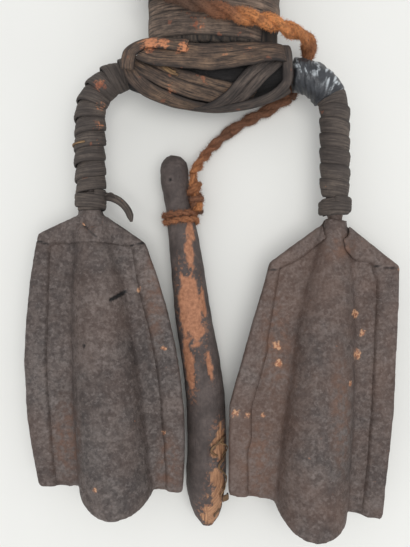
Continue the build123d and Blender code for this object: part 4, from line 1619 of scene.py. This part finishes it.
# %% Striker's skin
STICK_ROWS, STICK_SIDES = 330, 72
STICK_MAP_LENGTH = 0.209
BARK_DEPTH, BARK_SINK = 0.5, 0.35
PIT_SHARE, PIT_ANGLE, PIT_REACH = 0.183, 0.32, 1.2
PIT_LONG, PIT_ROUND = 198, 8.3
stick_loops, stick_uvs = [], []
stick_marks = {"peel": [], "fray": [], "pit": [], "fleck": []}
for row in range(STICK_ROWS + 1):
    share = row / STICK_ROWS
    place, radius, along, across = striker_frame(share)
    upward = across.cross(along)
    loop = []
    for k in range(STICK_SIDES):
        angle = 2 * math.pi * k / STICK_SIDES
        spot = Vector((math.sin(angle) * 1.2, math.cos(angle) * 1.2, share * 26))
        rough = noise.noise(spot * 2.2)
        bark_edge = 0.55 * noise.noise(spot * 1.7 + Vector((5, 2, 0))) + 0.3 * noise.noise(spot * 5)
        in_peeled, in_frayed = patches(share, angle, PEELED), patches(share, angle, FRAYED)
        peel = clamped((in_peeled + 0.8 * bark_edge) * 8)
        fray = clamped((in_frayed + 1.5 * bark_edge) * 7)
        pit = nearness(math.hypot((share - PIT_SHARE) * PIT_LONG, (angle - PIT_ANGLE) * PIT_ROUND), PIT_REACH)
        fine = noise.noise(Vector((angle * 9, share * 14, 3)))
        reach = radius - BARK_SINK + 0.28 * rough + (0.1 + 0.45 * fray) * fine
        reach -= BARK_DEPTH * max(peel, fray) + pit
        loop.append(place + (upward * math.cos(angle) + across * math.sin(angle)) * reach)
        stick_uvs.append((angle * radius * MM, share * STICK_MAP_LENGTH))
        stick_marks["peel"].append(peel)
        stick_marks["fray"].append(fray)
        stick_marks["pit"].append(min(1.0, 2 * pit))
        stick_marks["fleck"].append(clamped(0.8 + max(in_peeled, in_frayed)))
    stick_loops.append(loop)
stick = skin("striker_stick", stick_loops, STICK, stick_uvs, stick_marks["peel"])
for mark in ("fray", "pit", "fleck"):
    store(stick.data, mark, stick_marks[mark])
dress(stick, "striker", "striker_wood", "striker")
print("striker faces:", len(stick.data.polygons))

# %% [markdown]
# Near the tip, shreds of pale bast stand off the stick. Each is a small ribbon that starts and ends close to
# the wood and bows away from it in between.

# %% Frayed curls
# Each curl: share and angle of its start, its run in share and in angle, its lift and its breadth.
CURLS = (
    (0.728, -1.1, 0.035, 0.9, 1.6, 1.2),
    (0.735, -0.5, 0.03, -0.7, 1.5, 1.0),
    (0.762, -1.2, 0.03, 0.6, 1.3, 1.3),
    (0.79, -0.75, 0.05, -0.5, 1.1, 0.9),
    (0.83, -1.3, 0.03, 0.5, 1.4, 1.1),
    (0.868, -1.05, 0.012, -0.62, 2.6, 3.4),
    (0.9, -0.9, 0.03, 0.4, 0.9, 1.0),
)
CURL_STEPS, CURL_SINK, CURL_THICK = 12, 0.5, 0.5
curls = []
for number, (start, first, run, swing, lift, breadth) in enumerate(CURLS):
    stations = []
    for i in range(CURL_STEPS + 1):
        share = i / CURL_STEPS
        place, radius, along, across = striker_frame(start + run * share)
        angle = first + swing * math.sin(math.pi * share * 0.8)
        outward = across.cross(along) * math.cos(angle) + across * math.sin(angle)
        reach = radius - CURL_SINK + lift * math.sin(math.pi * min(1.0, share + 0.1))
        stations.append((place + outward * reach, outward, breadth, CURL_THICK))
    curls.append(ribbon(f"curl_{number}", stations, PALE_BARK, 130 + number, ridge=0.1))
dress(joined("striker_curls", curls, PALE_BARK), "striker", "striker_wood")
print("frayed curls:", len(CURLS))

# %% [markdown]
# A thin cord is tied round the stick's neck, and the rope ends beside the head in a lump. Both move with the
# striker. The lump starts right at the pivot, inside the end of the free rope, so no gap opens as it swings.

# %% Tie
TIE_START, TIE_END, TIE_TURNS = 0.264, 0.298, 2.1
TIE_THICK, TIE_SINK, TIE_STEPS = 3.5, 1.1, 90
tie_line = []
for i in range(TIE_STEPS + 1):
    place, radius, along, across = striker_frame(TIE_START + (TIE_END - TIE_START) * i / TIE_STEPS)
    angle = 2 * math.pi * TIE_TURNS * i / TIE_STEPS + math.pi
    outward = across * math.cos(angle) + across.cross(along) * math.sin(angle)
    tie_line.append(place + outward * (radius - TIE_SINK + TIE_THICK / 2))
tie = rope("neck_tie", tie_line, steady(TIE_THICK), between(-0.35, 0.3), 11, lay=3.0)
dress(tie, "striker", "rope_fibre", "striker_tie")
print("tie faces:", len(tie.data.polygons))

# %% Knot
# Each row: share of the stick, distance off it, and degrees above its side.
KNOT_SIDE = (
    (0.195, 2.9, 25),
    (0.209, 3.2, 25),
    (0.222, 3.4, 24),
    (0.239, 3.6, 22),
    (0.256, 3.4, 20),
    (0.274, 2.6, 20),
)
KNOT_GAP = 0.4
LUMP_STEPS, LUMP_TURNS, LUMP_REACH = 60, 1.9, 2.3
knot_run = [LEAD_POINTS[-1]]
for share, reach, degrees in KNOT_SIDE:
    place, radius, along, across = striker_frame(share)
    angle = math.radians(degrees)
    outward = across * -math.cos(angle) + UP * math.sin(angle)
    knot_run.append(tuple(place + outward * (radius + KNOT_GAP + reach)))
knot_core = rope("knot_run", route(knot_run), between(5.2, 6.6), between(0.4, 0.7), 13)
lump_axis = route(knot_run[2:])
lump_line = []
for i in range(LUMP_STEPS + 1):
    share = i / LUMP_STEPS
    centre = lump_axis[round(share * (len(lump_axis) - 1))]
    angle = 2 * math.pi * LUMP_TURNS * share
    lump_line.append(centre + Vector((math.cos(angle), 0.25 * math.sin(angle), math.sin(angle))) * LUMP_REACH)
knot_lump = rope("knot_lump", lump_line, steady(5.0), between(0.4, -0.7), 17, lay=3.0)
knot = joined("striker_knot", [knot_core, knot_lump], ROPE)
dress(knot, "striker", "rope_fibre", "rope_knot")
print("knot faces:", len(knot.data.polygons))

# %% [markdown]
# The free lead is a limp cord on the real object. Here it is a rope of fixed shape on a body of its own, made
# above.

print("free rope made on its own body")
